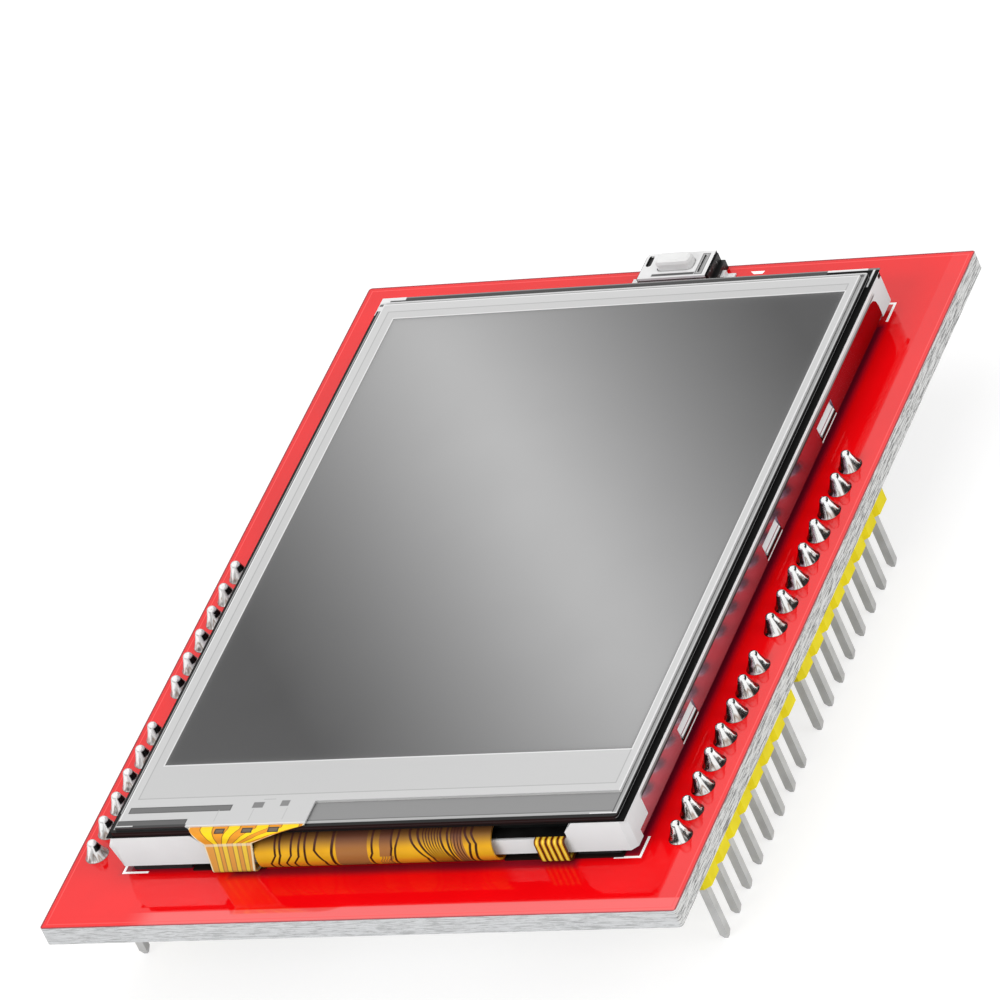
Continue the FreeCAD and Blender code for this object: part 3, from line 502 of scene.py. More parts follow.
def buildCones(bm, centres, shape, rng):
    paintedFluteLight = bm.verts.layers.float.new("paintedFluteLight")
    reach = shape["lean"]
    for x, y in centres:
        waves = [(rng.choice(shape["fluteCounts"]), rng.uniform(0, 6.28), rng.uniform(0.5, 1.0)) for n in range(4)]
        total = sum(size for count, phase, size in waves)
        leanX, leanY = rng.uniform(-reach, reach), rng.uniform(-reach, reach)
        rings = []
        for height, radius in shape["profile"]:
            fade = max(0.0, 1 - height / shape["fluteTo"]) * min(1.0, height / shape["fluteFrom"])
            ring = []
            for n in range(shape["steps"]):
                turn = 2 * math.pi * n / shape["steps"]
                wave = sum(size * math.sin(count * turn + phase) for count, phase, size in waves) / total
                r = radius * (1 + shape["flute"] * fade * wave)
                corner = bm.verts.new(((x + leanX * height + r * math.cos(turn)) * mm,
                                       (y + leanY * height + r * math.sin(turn)) * mm, (boardTop + height) * mm))
                # painted light that follows the flutes, with painted shade at the foot
                corner[paintedFluteLight] = 0.5 + 0.5 * wave * fade + 0.5 * (1 - fade) * min(1.0, height)
                if height < shape["foot"]:
                    corner[paintedFluteLight] = 0.0
                ring.append(corner)
            rings.append(ring)
        closeRings(bm, rings)


pinSetup = {"right": 8, "left": 6, "halfWidth": 0.32}


def pinCentres(group):
    low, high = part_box("header_pins_" + group)
    count = pinSetup[group.split("_")[0]]
    x = (low[0] + high[0]) / 2 / mm
    first, last = low[1] / mm + pinSetup["halfWidth"], high[1] / mm - pinSetup["halfWidth"]
    return [(x, first + (last - first) * n / (count - 1)) for n in range(count)]


coneRandom = random.Random(coneShape["seed"])
for group in ("left_back", "left_front", "right_back", "right_front"):
    centres = pinCentres(group)
    cones = addPiece("solderCones_" + group, lambda bm: buildCones(bm, centres, coneShape, coneRandom),
                     paleSolder if group.startswith("left") else brightSolder, smooth=True)
    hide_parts("solder_joints_" + group)
print("headers and solder done")

# backlight: white frame, bright tray and the layers inside
# the frame's long sides are painted brighter near the top, a painted highlight, and darker in bands below it, the
# lowest a painted shadow at the gap over the tray; the bands are (upper edge, grey, grey towards the back)
frameLook = {
    "white": (0.86, 0.865, 0.87), "shade": (0.83, 0.835, 0.84), "bright": 0.97, "bandsLow": 12.70,
    "finish": (0.3, 0.4, 0.5, 9.0, 0.002), "bandSoft": 0.03, "sideTurn": 0.6, "sideSoft": 0.3,
    "bands": [(13.08, 0.24, 0.62), (12.86, 0.02, 0.20)], "paleFrom": 12.0, "paleTo": 18.0,
    "sideFront": -26.9, "sideBack": 27.7, "tapeGrey": 0.01, "tapeBack": 29.25, "tapeLow": 13.0, "tapeLeft": -19.2,
}
# the snap tabs in the tray's windows show a seam and, under them, a dark gap of painted shade over a bright sill
tabLook = {
    "places": (-17.7, 1.9, 14.9), "half": 1.68, "top": 12.4, "turn": 0.2, "gapTop": 11.36, "gapSoft": 0.03,
    "gapPaintedShade": 0.006, "seam": 11.56, "seamHalf": 0.035, "seamTone": (0.34, 0.12, 0.15),
    "sillLow": 10.78, "sillHigh": 10.93, "sillSoft": 0.02, "sillReach": 0.2,
}


def besideTabs(y, tabs):
    return most(*[abs(y - place) < tabs["half"] for place in tabs["places"]])


def makeFrameMaterial(look, tabs):
    material, surface, point, normal = newMaterial("whitePlastic", look["white"], 0.4, Specular_IOR_Level=0.3)
    colour = tint(addFinish(surface, point, *look["finish"]), look["white"], look["shade"])
    x, y, z = parts(point)
    across, forward, upward = parts(normal)
    tab = (abs(across) > tabs["turn"]) * besideTabs(y, tabs) * (z < tabs["top"])
    colour = mix(tab * (abs(z - tabs["seam"]) < tabs["seamHalf"]), colour, tabs["seamTone"])
    # painted shade in the gap under each tab
    colour = mix(tab * edge(z, tabs["gapTop"], -tabs["gapSoft"]), colour, tabs["gapPaintedShade"])
    side = (abs(across) > look["sideTurn"]) * (z > look["bandsLow"])
    side *= between(y, look["sideFront"], look["sideBack"], look["sideSoft"])
    pale = softStep(y, look["paleFrom"], look["paleTo"])
    # painted highlight along the sides' top, then darker bands below, the lowest a painted shadow
    colour = mix(side, colour, look["bright"])
    for high, tone, paleTone in look["bands"]:
        colour = mix(side * edge(z, high, -look["bandSoft"]), colour, mix(pale, tone, paleTone))
    # the tape's black end wraps the frame's back corners
    wrapped = (y > look["tapeBack"]) * (z > look["tapeLow"]) * (upward < squareOn) * (x > look["tapeLeft"])
    feed(mix(wrapped, colour, look["tapeGrey"]), surface["Base Color"])
    return material


whitePlastic = makeFrameMaterial(frameLook, tabLook)
dress(whitePlastic, "backlight_frame")
# the rib's rings are (height, share of the swelling)
cornerRib = {"bevel": 0.45, "sunk": 0.05, "rings": [(10.66, 0.0), (12.62, 1.0), (13.1, 0.12)]}


def buildCornerRib(bm):
    # the moulding's front left corner swells out of its bevel and draws in again below the tape
    x, y = -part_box("backlight_tray")[1][0] / mm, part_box("backlight_frame")[0][1] / mm
    cut, sunk = cornerRib["bevel"], cornerRib["sunk"]
    rings = []
    for level, share in cornerRib["rings"]:
        inset = cut / 2 * (1 - share)
        outline = [(x + cut + sunk, y + sunk), (x + sunk, y + cut + sunk), (x, y + cut), (x + inset, y + inset),
                   (x + cut, y)]
        rings.append(addRing(bm, outline, level))
    closeRings(bm, rings)


addPiece("frameCornerRib", buildCornerRib, whitePlastic)
softenEdges(0.06, 3, "backlight_frame")
sheetLook = {"rim": 0.9, "back": (0.35, 0.26, 0.37), "front": (0.58, 0.44, 0.52), "start": 24.0, "end": -26.0,
             "metalFront": 0.72, "foot": 0.74, "footHeight": 10.6, "headHeight": 12.0, "gapPaintedShade": 0.01,
             "finish": (0.5, 0.13, 0.21, 1.2, 0.006)}


def makeSheetMaterial(look, tabs):
    # bright tray whose mirror is duller towards the front of the module; its tint from back to front is a painted
    # reflection, it darkens towards the foot as painted shade, and the top of its rim is painted plain white, a
    # painted reflection
    material, surface, point, normal = newMaterial("brightSheet", 0.5, 0.1, Metallic=1.0)
    addFinish(surface, point, *look["finish"])
    x, y, z = parts(point)
    onTop = parts(normal)[2] > squareOn
    run = rampUp(y, look["start"], look["end"])
    rise = softStep(z, look["footHeight"], look["headHeight"], look["foot"])
    tone = mix(onTop, mix(rise, 0.0, mix(run, look["back"], look["front"])), look["rim"])
    # in the window under each tab the tray is painted dark, a painted shade, except for the bright sill
    sill = besideTabs(y, tabs) * (z < tabs["gapTop"] - tabs["sillReach"])
    bright = edge(z, tabs["sillLow"], tabs["sillSoft"], look["gapPaintedShade"])
    bright *= edge(z, tabs["sillHigh"], -tabs["sillSoft"])
    feed(mix(sill, tone, bright), surface["Base Color"])
    feed(1.0 - most(run * (1.0 - look["metalFront"]), onTop, sill), surface["Metallic"])
    return material


dress(makeSheetMaterial(sheetLook, tabLook), "backlight_tray")
dress(simpleFinish("reflectorWhite", 0.85, 0.8, 0.4, 0.5), "reflector_sheet")
dress(simpleFinish("clearGuide", (0.70, 0.73, 0.75), (0.66, 0.69, 0.71), 0.1, 0.2), "light_guide")
dress(simpleFinish("opticalFilm", (0.72, 0.73, 0.74), (0.68, 0.69, 0.70), 0.25, 0.4),
      "diffuser_film", "prism_film_lower", "prism_film_upper")
dress(simpleFinish("lampPackage", (0.85, 0.78, 0.35), (0.80, 0.72, 0.30), 0.3, 0.4), "backlight_leds")
dress(simpleFinish("panelGlass", (0.012, 0.013, 0.013), (0.008, 0.009, 0.009), 0.05, 0.1, Specular_IOR_Level=0.1),
      "rear_glass", "front_glass")
dress(simpleFinish("polariserFilm", (0.03, 0.03, 0.032), (0.025, 0.025, 0.027), 0.1, 0.2),
      "rear_polariser", "front_polariser")
dress(simpleFinish("driverSilicon", (0.03, 0.03, 0.035), (0.02, 0.02, 0.025), 0.1, 0.2), "display_driver_chip")
dress(simpleFinish("blackTape", 0.006, 0.010, 0.5, 0.7, scale=0.8, depth=0.006, Specular_IOR_Level=0.06), "ledge_tape")
dress(simpleFinish("foamTape", (0.012, 0.012, 0.013), (0.02, 0.02, 0.021), 0.7, 0.9, fine=6.0, depth=0.03),
      "foam_tape_pads")

# touch panel: film with its printed lines over the glass, on its tape; layers as paintLayers takes them
filmLook = {"base": 0.56, "window": (-18.86, 19.72, -23.15, 26.76), "windowSoft": 0.05,
            "windowTone": (0.018, 0.018, 0.019), "finish": (0.15, 0.1, 0.2, 2.0, 0.0)}
filmLayers = [
    (-19.65, 19.75, -26.75, 27.66, 0.53), (-19.65, 19.75, -26.75, 27.66, 0.38, 0.08),
    (-18.98, 19.84, -23.28, 26.9, 0.74), (-18.88, 19.74, -23.17, 26.8, 0.05),
    (-20.34, 20.34, -29.8, 28.54, 0.75, 0.10),
    (-19.87, -11.35, -28.26, -27.70, 0.15), (-19.87, -11.35, -28.26, -27.70, 0.06, 0.07),
    (-20.42, -14.62, -30.5, -29.08, 0.10), (-20.42, -14.62, -29.62, -29.08, 0.035, 0.07),
    (-20.42, -14.5, -30.5, -29.62, 0.03), (-21.0, -19.0, -29.68, -29.58, 0.72),
    (-9.6, -8.7, -28.1, -27.5, 0.20), (-7.3, -6.6, -28.0, -27.4, 0.22), (-8.9, -7.9, -27.25, -27.2, 0.36),
    (-12.3, -12.24, -29.4, -28.2, 0.44), (-9.4, -9.34, -29.4, -28.2, 0.44), (-6.6, -6.54, -29.4, -28.2, 0.44),
]
# the tape is seen as a grey strip along the back, with the frame's corner bare at its right end
rimLook = {"black": 0.008, "finish": (0.8, 0.5, 0.7, 9.0, 0.006)}
rimLayers = [
    (-20.9, 17.0, 29.2, 31.0, 0.085), (-20.9, 17.0, 29.98, 31.0, 0.26), (17.0, 20.4, 29.88, 31.0, 0.80),
    (20.4, 21.5, 29.88, 31.0, 0.22), (20.86, 21.04, 27.9, 29.9, 0.75), (-22.0, -19.2, 29.75, 31.0, 0.80),
    (-22.0, -20.5, 28.1, 31.0, 0.80),
]


def makeRimMaterial(look, layers):
    material, surface, point, normal = newMaterial("rimTape", look["black"], 0.6, Specular_IOR_Level=0.06)
    addFinish(surface, point, *look["finish"])
    feed(paintLayers(point, look["black"], layers), surface["Base Color"])
    return material


def makeFilmMaterial(look, layers):
    material, surface, point, normal = newMaterial("touchFilm", 0.5, 0.12, IOR=1.42, Coat_IOR=2.1, Coat_Roughness=0.02)
    addFinish(surface, point, *look["finish"])
    window = rectangle(point, *look["window"], soft=look["windowSoft"])["Inside"]
    feed(mix(window, paintLayers(point, look["base"], layers), look["windowTone"]), surface["Base Color"])
    feed(window, surface["Coat Weight"])
    return material


dress(makeRimMaterial(rimLook, rimLayers), "rim_tape")
dress(makeFilmMaterial(filmLook, filmLayers), "touch_film")

glassLook = {"base": 0.42, "side": 0.010, "seam": 0.03, "seamHalf": 0.03, "rightSeam": 0.20,
             "finish": (0.2, 0.05, 0.12, 2.0, 0.0)}
# the light lines along the right edge and at the front right corner are painted highlights on the glass's edges
glassLayers = [
    (20.38, 20.68, -40.0, 40.0, 0.36), (-4.6, 20.45, -29.42, -27.5, 0.27), (-4.6, 20.45, -29.42, -27.5, 0.12, 0.07),
    (20.38, 20.46, -40.0, 40.0, 0.12), (20.70, 20.78, -29.66, 29.04, 0.55), (-40.0, -18.9, -29.99, -29.88, 0.70),
    (-40.0, -20.66, -40.0, 28.1, 0.02), (-20.74, -20.66, -28.0, 28.1, 0.50), (-20.66, -20.42, -28.0, 28.1, 0.05),
    (-40.0, -20.42, 28.1, 40.0, 0.75), (-40.0, 20.78, 28.97, 29.14, 0.66), (-40.0, 20.6, 28.62, 28.90, 0.14),
    (18.6, 20.78, -29.70, -29.60, 0.80), (-40.0, 40.0, -40.0, -29.72, 0.02), (20.80, 40.0, -40.0, 40.0, 0.02),
]


def makeGlassMaterial(look, layers):
    material, surface, point, normal = newMaterial("touchGlass", 0.4, 0.08, Specular_IOR_Level=0.08)
    across, forward, upward = parts(normal)
    addFinish(surface, point, *look["finish"])
    middle = sum(corner[2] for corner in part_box("touch_glass")) / 2 / mm
    seam = abs(parts(point)[2] - middle) < look["seamHalf"]
    side = mix(seam, look["side"], mix(across > squareOn, look["seam"], look["rightSeam"]))
    feed(mix(upward > squareOn, side, paintLayers(point, look["base"], layers)), surface["Base Color"])
    return material


dress(makeGlassMaterial(glassLook, glassLayers), "touch_glass")
softenEdges(0.03, 2, "touch_glass")
spacerLook = {"pale": (0.62, 0.62, 0.61), "deep": (0.58, 0.58, 0.57), "shaded": 0.035, "shadedTo": -14.4,
              "finish": (0.6, 0.2, 0.3, 9.0, 0.004)}


def makeSpacerMaterial(look):
    # the adhesive layer is pale at its edges except under the film's printed front left end
    material, surface, point, normal = newMaterial("spacerFilm", look["pale"], 0.25, Specular_IOR_Level=0.3)
    colour = tint(addFinish(surface, point, *look["finish"]), look["pale"], look["deep"])
    shaded = (parts(normal)[1] < -squareOn) * (parts(point)[0] < look["shadedTo"])
    feed(mix(shaded, colour, look["shaded"]), surface["Base Color"])
    return material


dress(makeSpacerMaterial(spacerLook), "touch_spacer")
print("display stack done")

# flexes
flexLook = {
    "amber": (0.86, 0.44, 0.012), "amberDeep": (0.78, 0.38, 0.010), "foot": (0.88, 0.27, 0.010),
    "copper": (0.39, 0.155, 0.042), "line": (0.045, 0.010, 0.003), "paintedTopShade": (0.085, 0.028, 0.024),
    "plate": (0.012, 0.008, 0.007), "plateEdge": (0.22, 0.05, 0.01), "foldLeft": -9.21, "foldRight": 10.31,
    "finish": (0.5, 0.32, 0.45, 3.0, 0.003), "footSpan": (1.5, 0.9), "paintedTopShadeSpan": (2.0, 2.95, 0.0, 0.9),
    "edgeSpan": (0.42, 0.52), "footTop": 1.2, "feetTop": 1.55,
}
# wide brown areas and single lines: (place, height above the board) at the top, the bend and the foot, then width
copperAreas = [
    ((-1.10, 2.9), (-1.18, 1.9), (-1.30, 1.0), 2.60),
    ((1.66, 2.9), (1.62, 2.0), (1.50, 1.5), 0.95),
    ((7.45, 2.9), (7.70, 1.9), (7.80, 1.0), 0.85),
]
traceLines = [
    ((-7.46, 2.90), (-7.52, 1.85), (-8.13, 1.10), 0.18), ((-7.08, 2.85), (-7.10, 1.85), (-7.52, 1.07), 0.18),
    ((-6.08, 2.81), (-6.22, 1.83), (-6.82, 1.16), 0.18), ((-5.44, 2.80), (-5.61, 1.73), (-6.16, 1.13), 0.18),
    ((-4.97, 2.85), (-5.04, 1.95), (-5.17, 1.08), 0.19), ((-4.07, 2.84), (-4.23, 2.15), (-3.61, 1.14), 0.21),
    ((-2.66, 2.73), (-2.85, 1.89), (-2.89, 1.23), 0.24), ((0.60, 2.82), (0.50, 1.80), (0.26, 1.45), 0.19),
    ((2.16, 2.80), (2.16, 2.10), (1.78, 1.09), 0.18), ((2.74, 2.73), (2.46, 2.13), (2.21, 1.07), 0.18),
    ((3.62, 2.85), (3.90, 2.40), (4.86, 1.20), 0.21), ((4.25, 2.85), (4.54, 2.35), (5.35, 1.19), 0.21),
    ((6.14, 2.80), (6.44, 2.00), (6.90, 1.20), 0.18), ((6.70, 2.80), (6.90, 2.00), (7.14, 1.10), 0.18),
    ((8.11, 2.83), (8.61, 2.25), (8.38, 1.04), 0.21), ((8.68, 2.76), (9.09, 2.24), (8.89, 1.02), 0.21),
]
fineLines = {"count": 7, "top": 4.70, "topStep": 0.24, "foot": 5.62, "footStep": 0.19, "width": 0.10,
             "heights": (2.8, 2.2, 1.05)}
sideLines = {"count": 4, "top": 7.02, "topStep": 0.26, "foot": 7.42, "footStep": 0.22, "width": 0.09,
             "heights": (2.8, 2.0, 1.05)}
footLines = {"count": 5, "top": 1.30, "topStep": 0.21, "foot": 0.92, "footStep": 0.21, "width": 0.11,
             "heights": (1.6, 1.3, 1.0)}
# how far a line has moved towards its foot at the bend
bendShare = 0.28


def evenLines(look):
    lines = []
    top, bend, foot = look["heights"]
    for n in range(look["count"]):
        high = look["top"] + n * look["topStep"]
        low = look["foot"] + n * look["footStep"]
        lines.append(((high, top), (high + bendShare * (low - high), bend), (low, foot), look["width"]))
    return lines


def flexBase(name, look):
    material, surface, point, normal = newMaterial(name, look["amber"], 0.3, Specular_IOR_Level=0.22)
    colour = tint(addFinish(surface, point, *look["finish"]), look["amber"], look["amberDeep"])
    return material, surface, point, colour


def placeRun(across, along, corners, **values):
    # corners are (place, height, width) at the top, the bend and the foot
    for label, (place, height, width) in zip(("Top", "Bend", "Foot"), corners):
        values.update({label: height, label + "Place": place, label + "Width": width})
    return placeGroup(runGroup, Across=across, Along=along, **values)


def makeDisplayFlexMaterial(look):
    material, surface, point, colour = flexBase("displayFlex", look)
    x, y, z = parts(point)
    along = z - boardTop
    colour = mix(softStep(along, *look["footSpan"]), colour, look["foot"])
    areas = [(line, "copper", {"From": line[2][1]} if line[2][1] > look["footTop"] else {}) for line in copperAreas]
    traces = [(line, "line", {}) for line in traceLines + evenLines(fineLines) + evenLines(sideLines)]
    feet = [(line, "copper", {"To": look["feetTop"]}) for line in evenLines(footLines)]
    for (*turns, width), tone, ends in areas + traces + feet:
        mask = placeRun(x, along, [(*turn, width) for turn in turns], **ends)["Inside"]
        colour = mix(mask, colour, look[tone])
    # the top of the fold is darkened, a painted shade
    colour = mix(softStep(along, *look["paintedTopShadeSpan"]), colour, look["paintedTopShade"])
    # the wide end that lies on the board is dark, with a thin brown front edge
    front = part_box("display_flex")[0][1] / mm
    beyond = most(x < look["foldLeft"], x > look["foldRight"])
    plate = mix(softStep(y - front, *look["edgeSpan"]), look["plateEdge"], look["plate"])
    feed(mix(beyond, colour, plate), surface["Base Color"])
    return material


dress(makeDisplayFlexMaterial(flexLook), "display_flex")
dress(brightSolder, "flex_solder_joints")

ledFlexLook = {"gap": (0.11, 0.022, 0.004), "pitch": 0.48, "left": 13.7, "share": 0.60,
               "middle": (0.98, 0.72, 0.10), "middleShare": 0.26, "middleSoft": 0.06}


def makeLedFlexMaterial(look, strip):
    material, surface, point, colour = flexBase("ledFlex", look)
    off = abs(calc("FRACT", (parts(point)[0] - strip["left"]) / strip["pitch"]) - 0.5)
    colour = mix(off > strip["share"] / 2, colour, strip["gap"])
    # a bright line along the middle of each stripe, a painted highlight
    middle = edge(off, strip["middleShare"] / 2, -strip["middleSoft"])
    feed(mix(middle, colour, strip["middle"]), surface["Base Color"])
    return material


dress(makeLedFlexMaterial(flexLook, ledFlexLook), "led_flex")

# four gold runs that close in from the film's edge to the neck: (place, width) at the top, the neck and the foot
tailLook = {
    "gold": (0.98, 0.66, 0.012), "base": (0.80, 0.31, 0.022), "edge": (0.95, 0.85, 0.60), "dark": (0.24, 0.08, 0.015),
    "pale": (0.85, 0.60, 0.28), "paleShare": 0.20, "band": (0.90, 0.82, 0.62), "bandShare": 0.6, "front": -30.73,
    "heights": (4.63, 3.2, 0.2), "bandLow": 2.95, "bandHigh": 3.18, "padLow": 4.22, "padHigh": 4.66,
    "padTone": (0.16, 0.12, 0.09), "padRim": 0.03, "underFilm": 0.6, "bandGrow": 0.01, "bandSoft": 0.05,
    "runLine": 0.07, "runSoft": 0.07, "padLine": 0.10, "edgeLine": 0.16,
}
tailRuns = [
    ((-12.65, 1.05), (-11.97, 0.40), (-12.60, 0.38)), ((-10.34, 1.02), (-11.24, 0.42), (-11.90, 0.38)),
    ((-7.99, 1.08), (-10.38, 0.38), (-11.10, 0.36)), ((-5.66, 1.45), (-9.62, 0.44), (-10.38, 0.36)),
]
tailPads = [(-11.47, 0.72), (-9.18, 0.80), (-6.98, 0.80)]
tailEdges = ((-9.40, 9.60), (-10.96, 3.98), (-11.64, 3.40))


def makeTailMaterial(look, tail):
    material, surface, point, colour = flexBase("touchTail", look)
    x, y, z = parts(point)
    along = z - boardTop + most(y - tail["front"], 0.0)

    def tailRun(run, line, **ends):
        corners = [(place, height, width) for height, (place, width) in zip(tail["heights"], run)]
        return placeRun(x, along, corners, Line=line, **ends)

    colour = tail["base"]
    for run in tailRuns:
        masks = tailRun(run, tail["runLine"], Soft=tail["runSoft"])
        colour = mix(masks["Inside"], colour, tail["gold"])
        colour = mix(masks["Outline"], colour, tail["dark"])
    for pad in tailPads:
        masks = tailRun([pad] * 3, tail["padLine"], From=tail["padLow"], To=tail["padHigh"])
        colour = mix(masks["Inside"], colour, tail["padTone"])
        colour = mix(masks["Outline"], colour, tail["padRim"])
    colour = mix(softStep(along, tail["bandHigh"], tail["bandLow"], 0.0, tail["paleShare"]), colour, tail["pale"])
    band = between(along, tail["bandLow"] - tail["bandGrow"], tail["bandHigh"] + tail["bandGrow"], tail["bandSoft"])
    colour = mix(band * tail["bandShare"], colour, tail["band"])
    colour = mix(tailRun(tailEdges, tail["edgeLine"], Soft=tail["runSoft"])["Outline"], colour, tail["edge"])
    feed(mix(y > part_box("touch_film")[0][1] / mm, colour, tail["underFilm"]), surface["Base Color"])
    return material


dress(makeTailMaterial(flexLook, tailLook), "touch_tail")
print("flexes done")

# reset switch
switchLook = {
    "sheet": 0.80, "black": 0.012, "glint": 0.45, "groove": 0.09, "lip": 0.95, "lipSeam": 11.28, "lipSeamHalf": 0.07,
    "slot": (3.98, 4.38, 33.1, 35.45), "slotGrey": 0.40, "slotSoft": 0.05, "grooveSoft": 0.08, "turn": 0.6,
    "paintedGlintSpan": (0.60, 0.68), "finish": (0.9, 0.32, 0.5, 6.0, 0.004),
}
# the groove across the cover is painted dark, a painted shade
switchGroove = [(0.15, 3.80, 33.06, 33.34, switchLook["groove"])]
switchLayers = [(3.84, 4.50, 33.05, 35.50, 0.13), (3.92, 4.42, 33.13, 35.42, 0.40), (0.75, 0.92, 33.60, 33.76, 0.03)]


def makeSwitchMaterial(name, look, isCover):
    # bright sheet cover over a black body, with painted glints on its black faces turned along x
    material, surface, point, normal = newMaterial(name, 0.8, 0.4, Specular_IOR_Level=0.35)
    addFinish(surface, point, *look["finish"])
    across, forward, upward = parts(normal)
    paintedGlints = softStep(noise(point, Scale=3.2, Detail=4.0, Roughness=0.7), *look["paintedGlintSpan"])
    black = mix(paintedGlints * (across > squareOn), look["black"], look["glint"])
    if isCover:
        colour = paintLayers(point, paintLayers(point, look["sheet"], switchGroove, look["grooveSoft"]), switchLayers)
        lip = mix(abs(parts(point)[2] - look["lipSeam"]) < look["lipSeamHalf"], look["lip"], look["groove"])
        colour = mix(forward < -look["turn"], colour, lip)
        colour = mix(across > look["turn"], colour, black)
    else:
        colour = mix(rectangle(point, *look["slot"], soft=look["slotSoft"])["Inside"], black, look["slotGrey"])
    feed(colour, surface["Base Color"])
    return material


dress(makeSwitchMaterial("switchBlack", switchLook, False), "switch_base")
dress(makeSwitchMaterial("switchSheet", switchLook, True), "switch_cover")
dress(simpleFinish("domeSheet", 0.80, 0.74, 0.3, 0.45, Metallic=0.9), "switch_dome")
dress(simpleFinish("plungerPlastic", (0.80, 0.80, 0.795), (0.76, 0.76, 0.755), 0.3, 0.42), "switch_plunger")
softenEdges(0.06, 3, "switch_cover", "switch_base")
softenEdges(0.10, 3, "switch_plunger")
dress(simpleFinish("whiteTin", 0.86, 0.78, 0.3, 0.4, Metallic=0.2), "switch_leads")

# under the board
dress(simpleFinish("tinnedLead", (0.74, 0.73, 0.71), (0.62, 0.61, 0.59), 0.2, 0.35, Metallic=0.95),
      "regulator_leads", "component_terminals", "buffer_chip_leads_a", "buffer_chip_leads_b")
dress(simpleFinish("socketSheet", (0.68, 0.68, 0.67), (0.58, 0.58, 0.57), 0.2, 0.35, Metallic=1.0),
      "card_socket_shell")
dress(simpleFinish("chipBlack", (0.018, 0.018, 0.019), (0.028, 0.028, 0.029), 0.45, 0.6, fine=12.0, depth=0.008),
      "buffer_chip_a", "buffer_chip_b", "regulator_body", "card_socket_insulator")
dress(simpleFinish("contactGold", (0.80, 0.58, 0.22), (0.70, 0.50, 0.18), 0.2, 0.3, Metallic=1.0),
      "card_socket_contacts")
dress(simpleFinish("capacitorTan", (0.42, 0.28, 0.16), (0.36, 0.24, 0.13), 0.4, 0.55), "capacitors")
dress(simpleFinish("resistorGlaze", (0.015, 0.015, 0.017), (0.03, 0.03, 0.032), 0.15, 0.3), "resistors")
softenEdges(0.05, 2, "buffer_chip_a", "buffer_chip_b", "regulator_body", "capacitors", "resistors",
            "component_terminals", "card_socket_insulator")
print("switch and underside done")

# floor, card that the screen mirrors, world and lamps
stageSetup = {"floorSize": 3.0, "floorGlow": 0.76, "floorTone": 0.34, "bounceTone": 0.8}
# the levels are grey levels of the picture; decode turns them into light
cardSetup = {"height": 0.20, "gain": 0.1765, "haze": 0.0466, "slope": 3.39, "floorLevel": 92.7, "peakLevel": 183.3,
             "middle": 5.40, "tilt": 0.817, "bend": 3.9, "decode": (14.0, 269.0, 2.4)}


def addSheet(name, corners, material):
    mesh = bpy.data.meshes.new(name)
    mesh.from_pydata(corners, [], [(0, 1, 2, 3)])
    mesh.materials.append(material)
    sheet = bpy.data.objects.new(name, mesh)
    bpy.context.collection.objects.link(sheet)
    return sheet


def makeFloor(setup):
    half = setup["floorSize"]
    material, surface, point, normal = newMaterial("floorWhite", setup["bounceTone"], 0.9, Specular_IOR_Level=0.0,
                                                   Emission_Color=1.0)
    path = addNode(point.tree, "ShaderNodeLightPath").outputs
    seen = most(*[Value(path[ray]) for ray in ("Is Camera Ray", "Is Glossy Ray", "Is Transmission Ray")])
    feed(mix(seen, setup["bounceTone"], setup["floorTone"]), surface["Base Color"])
    feed(seen * setup["floorGlow"], surface["Emission Strength"])
    floor = addSheet("floor", [(-half, -half, 0), (half, -half, 0), (half, half, 0), (-half, half, 0)], material)


def makeScreenCard(setup, window):
    # a softly graded card, placed where the screen mirrors it for the photograph's camera
    left, right, front, back = window
    material = bpy.data.materials.new("cardGlow")
    material.use_nodes = True
    tree = material.node_tree
    tree.nodes.clear()
    x, y, z = parts(Value(addNode(tree, "ShaderNodeTexCoord").outputs["Generated"]))
    off = x * (right - left) + left + (y * (back - front) + front) * setup["tilt"] - setup["middle"]
    off = calc("POWER", off * off + setup["bend"] ** 2, 0.5) - setup["bend"]
    level = most(setup["peakLevel"] - off * setup["slope"], setup["floorLevel"])
    lift, span, power = setup["decode"]
    light = (calc("POWER", (level + lift) / span, power) - setup["haze"]) / setup["gain"]
    glow = Value(addNode(tree, "ShaderNodeEmission", Strength=light).outputs[0])
    addNode(tree, "ShaderNodeOutputMaterial", Surface=glow)
    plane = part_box("touch_film")[1][2]
    eye = Vector(cameraSetup["place"])
    mirrored = Vector((eye.x, eye.y, 2 * plane - eye.z))
    grow = (plane + setup["height"] - mirrored.z) / (plane - mirrored.z)
    corners = [mirrored + (Vector((across * mm, along * mm, plane)) - mirrored) * grow
               for across, along in ((left, front), (right, front), (right, back), (left, back))]
    card = addSheet("screenCard", [tuple(corner) for corner in corners], material)
    card.visible_camera = False
    card.visible_diffuse = False
    card.visible_shadow = False
    card.visible_transmission = False


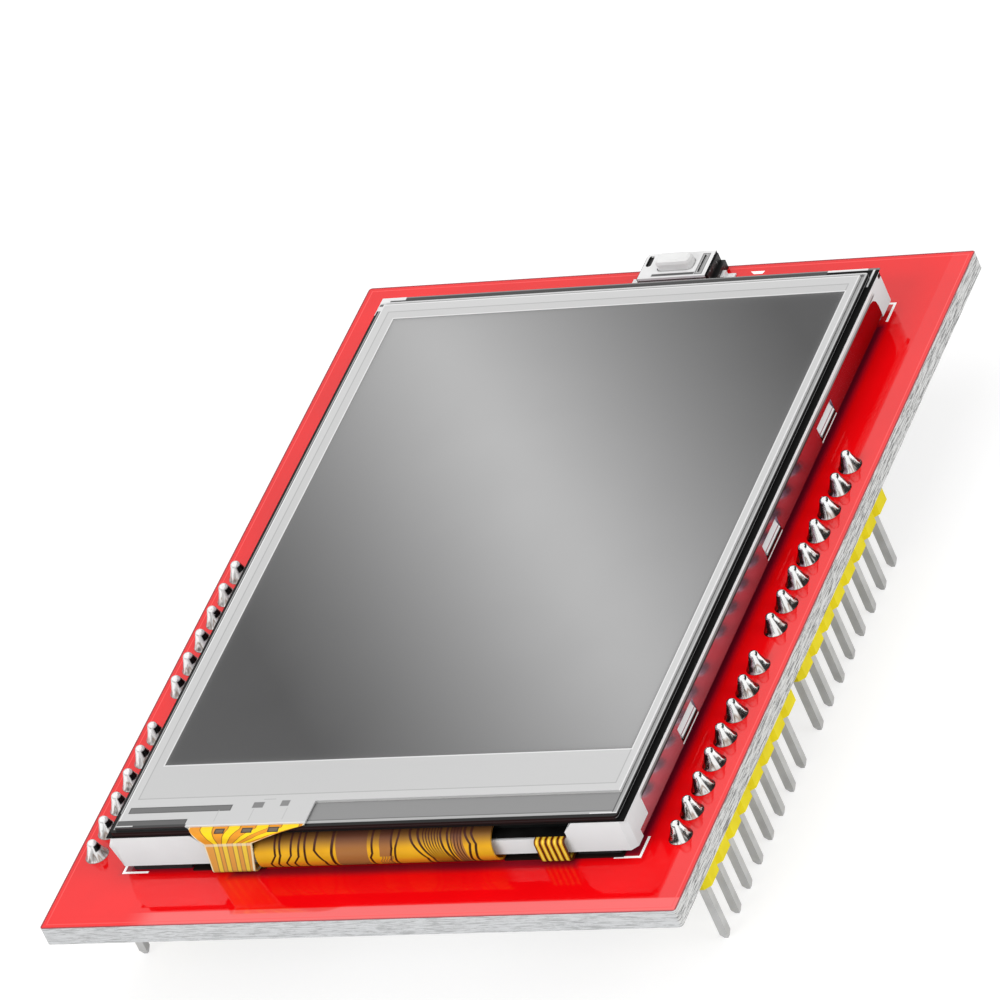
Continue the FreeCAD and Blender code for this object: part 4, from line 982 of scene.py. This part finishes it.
worldSetup = {"fill": 0.66, "dark": 0.03, "leftBelow": 0.42, "rightBelow": 0.85, "sideEdge": 0.45, "edgeSlope": 6.0,
              "leastFlat": 0.0001}


def makeWorld(setup):
    world = bpy.data.worlds.new("studio")
    bpy.context.scene.world = world
    world.use_nodes = True
    tree = world.node_tree
    sky = tree.nodes["Background"].inputs
    path = addNode(tree, "ShaderNodeLightPath").outputs
    x, y, z = parts(Value(addNode(tree, "ShaderNodeTexCoord").outputs["Generated"]))
    # mirrors see a dark room to the left and right of the camera, and white behind and above
    across = Vector((viewLine.y, -viewLine.x)).normalized()
    sideways = (x * across.x + y * across.y) / calc("SQRT", most(1.0 - z * z, setup["leastFlat"]))
    walls = []
    for sign, below in ((1.0, setup["rightBelow"]), (-1.0, setup["leftBelow"])):
        turned = calc("MULTIPLY", sideways * sign - setup["sideEdge"], setup["edgeSlope"], clamp=True)
        walls.append(turned * calc("MULTIPLY", below - z, setup["edgeSlope"], clamp=True))
    glossy = Value(path["Is Glossy Ray"])
    level = glossy * (1.0 - most(*walls) * (1.0 - setup["dark"])) + (1.0 - glossy) * setup["fill"]
    feed(most(level, Value(path["Is Camera Ray"]), Value(path["Is Transmission Ray"])), sky["Strength"])
    feed(1.0, sky["Color"])


lampSetup = {
    "keyLamp": {"place": (-0.30, -0.75, 0.62), "size": 0.55, "power": 3.8},
    "sideLamp": {"place": (0.80, -0.10, 0.55), "size": 0.5, "power": 1.7},
    "topLamp": {"place": (0.0, 0.25, 0.95), "size": 0.7, "power": 2.0},
}


def makeLamps(setup):
    for name, lamp in setup.items():
        data = bpy.data.lights.new(name, "AREA")
        data.size = lamp["size"]
        data.energy = lamp["power"]
        data.shape = "SQUARE"
        place = Vector(lamp["place"])
        lampObject = bpy.data.objects.new(name, data)
        lampObject.matrix_world = Matrix.Translation(place) @ (-place).to_track_quat("-Z", "Y").to_matrix().to_4x4()
        bpy.context.collection.objects.link(lampObject)
        lampObject.visible_glossy = False


makeFloor(stageSetup)
makeScreenCard(cardSetup, filmLook["window"])
makeWorld(worldSetup)
makeLamps(lampSetup)
print("stage and light done")
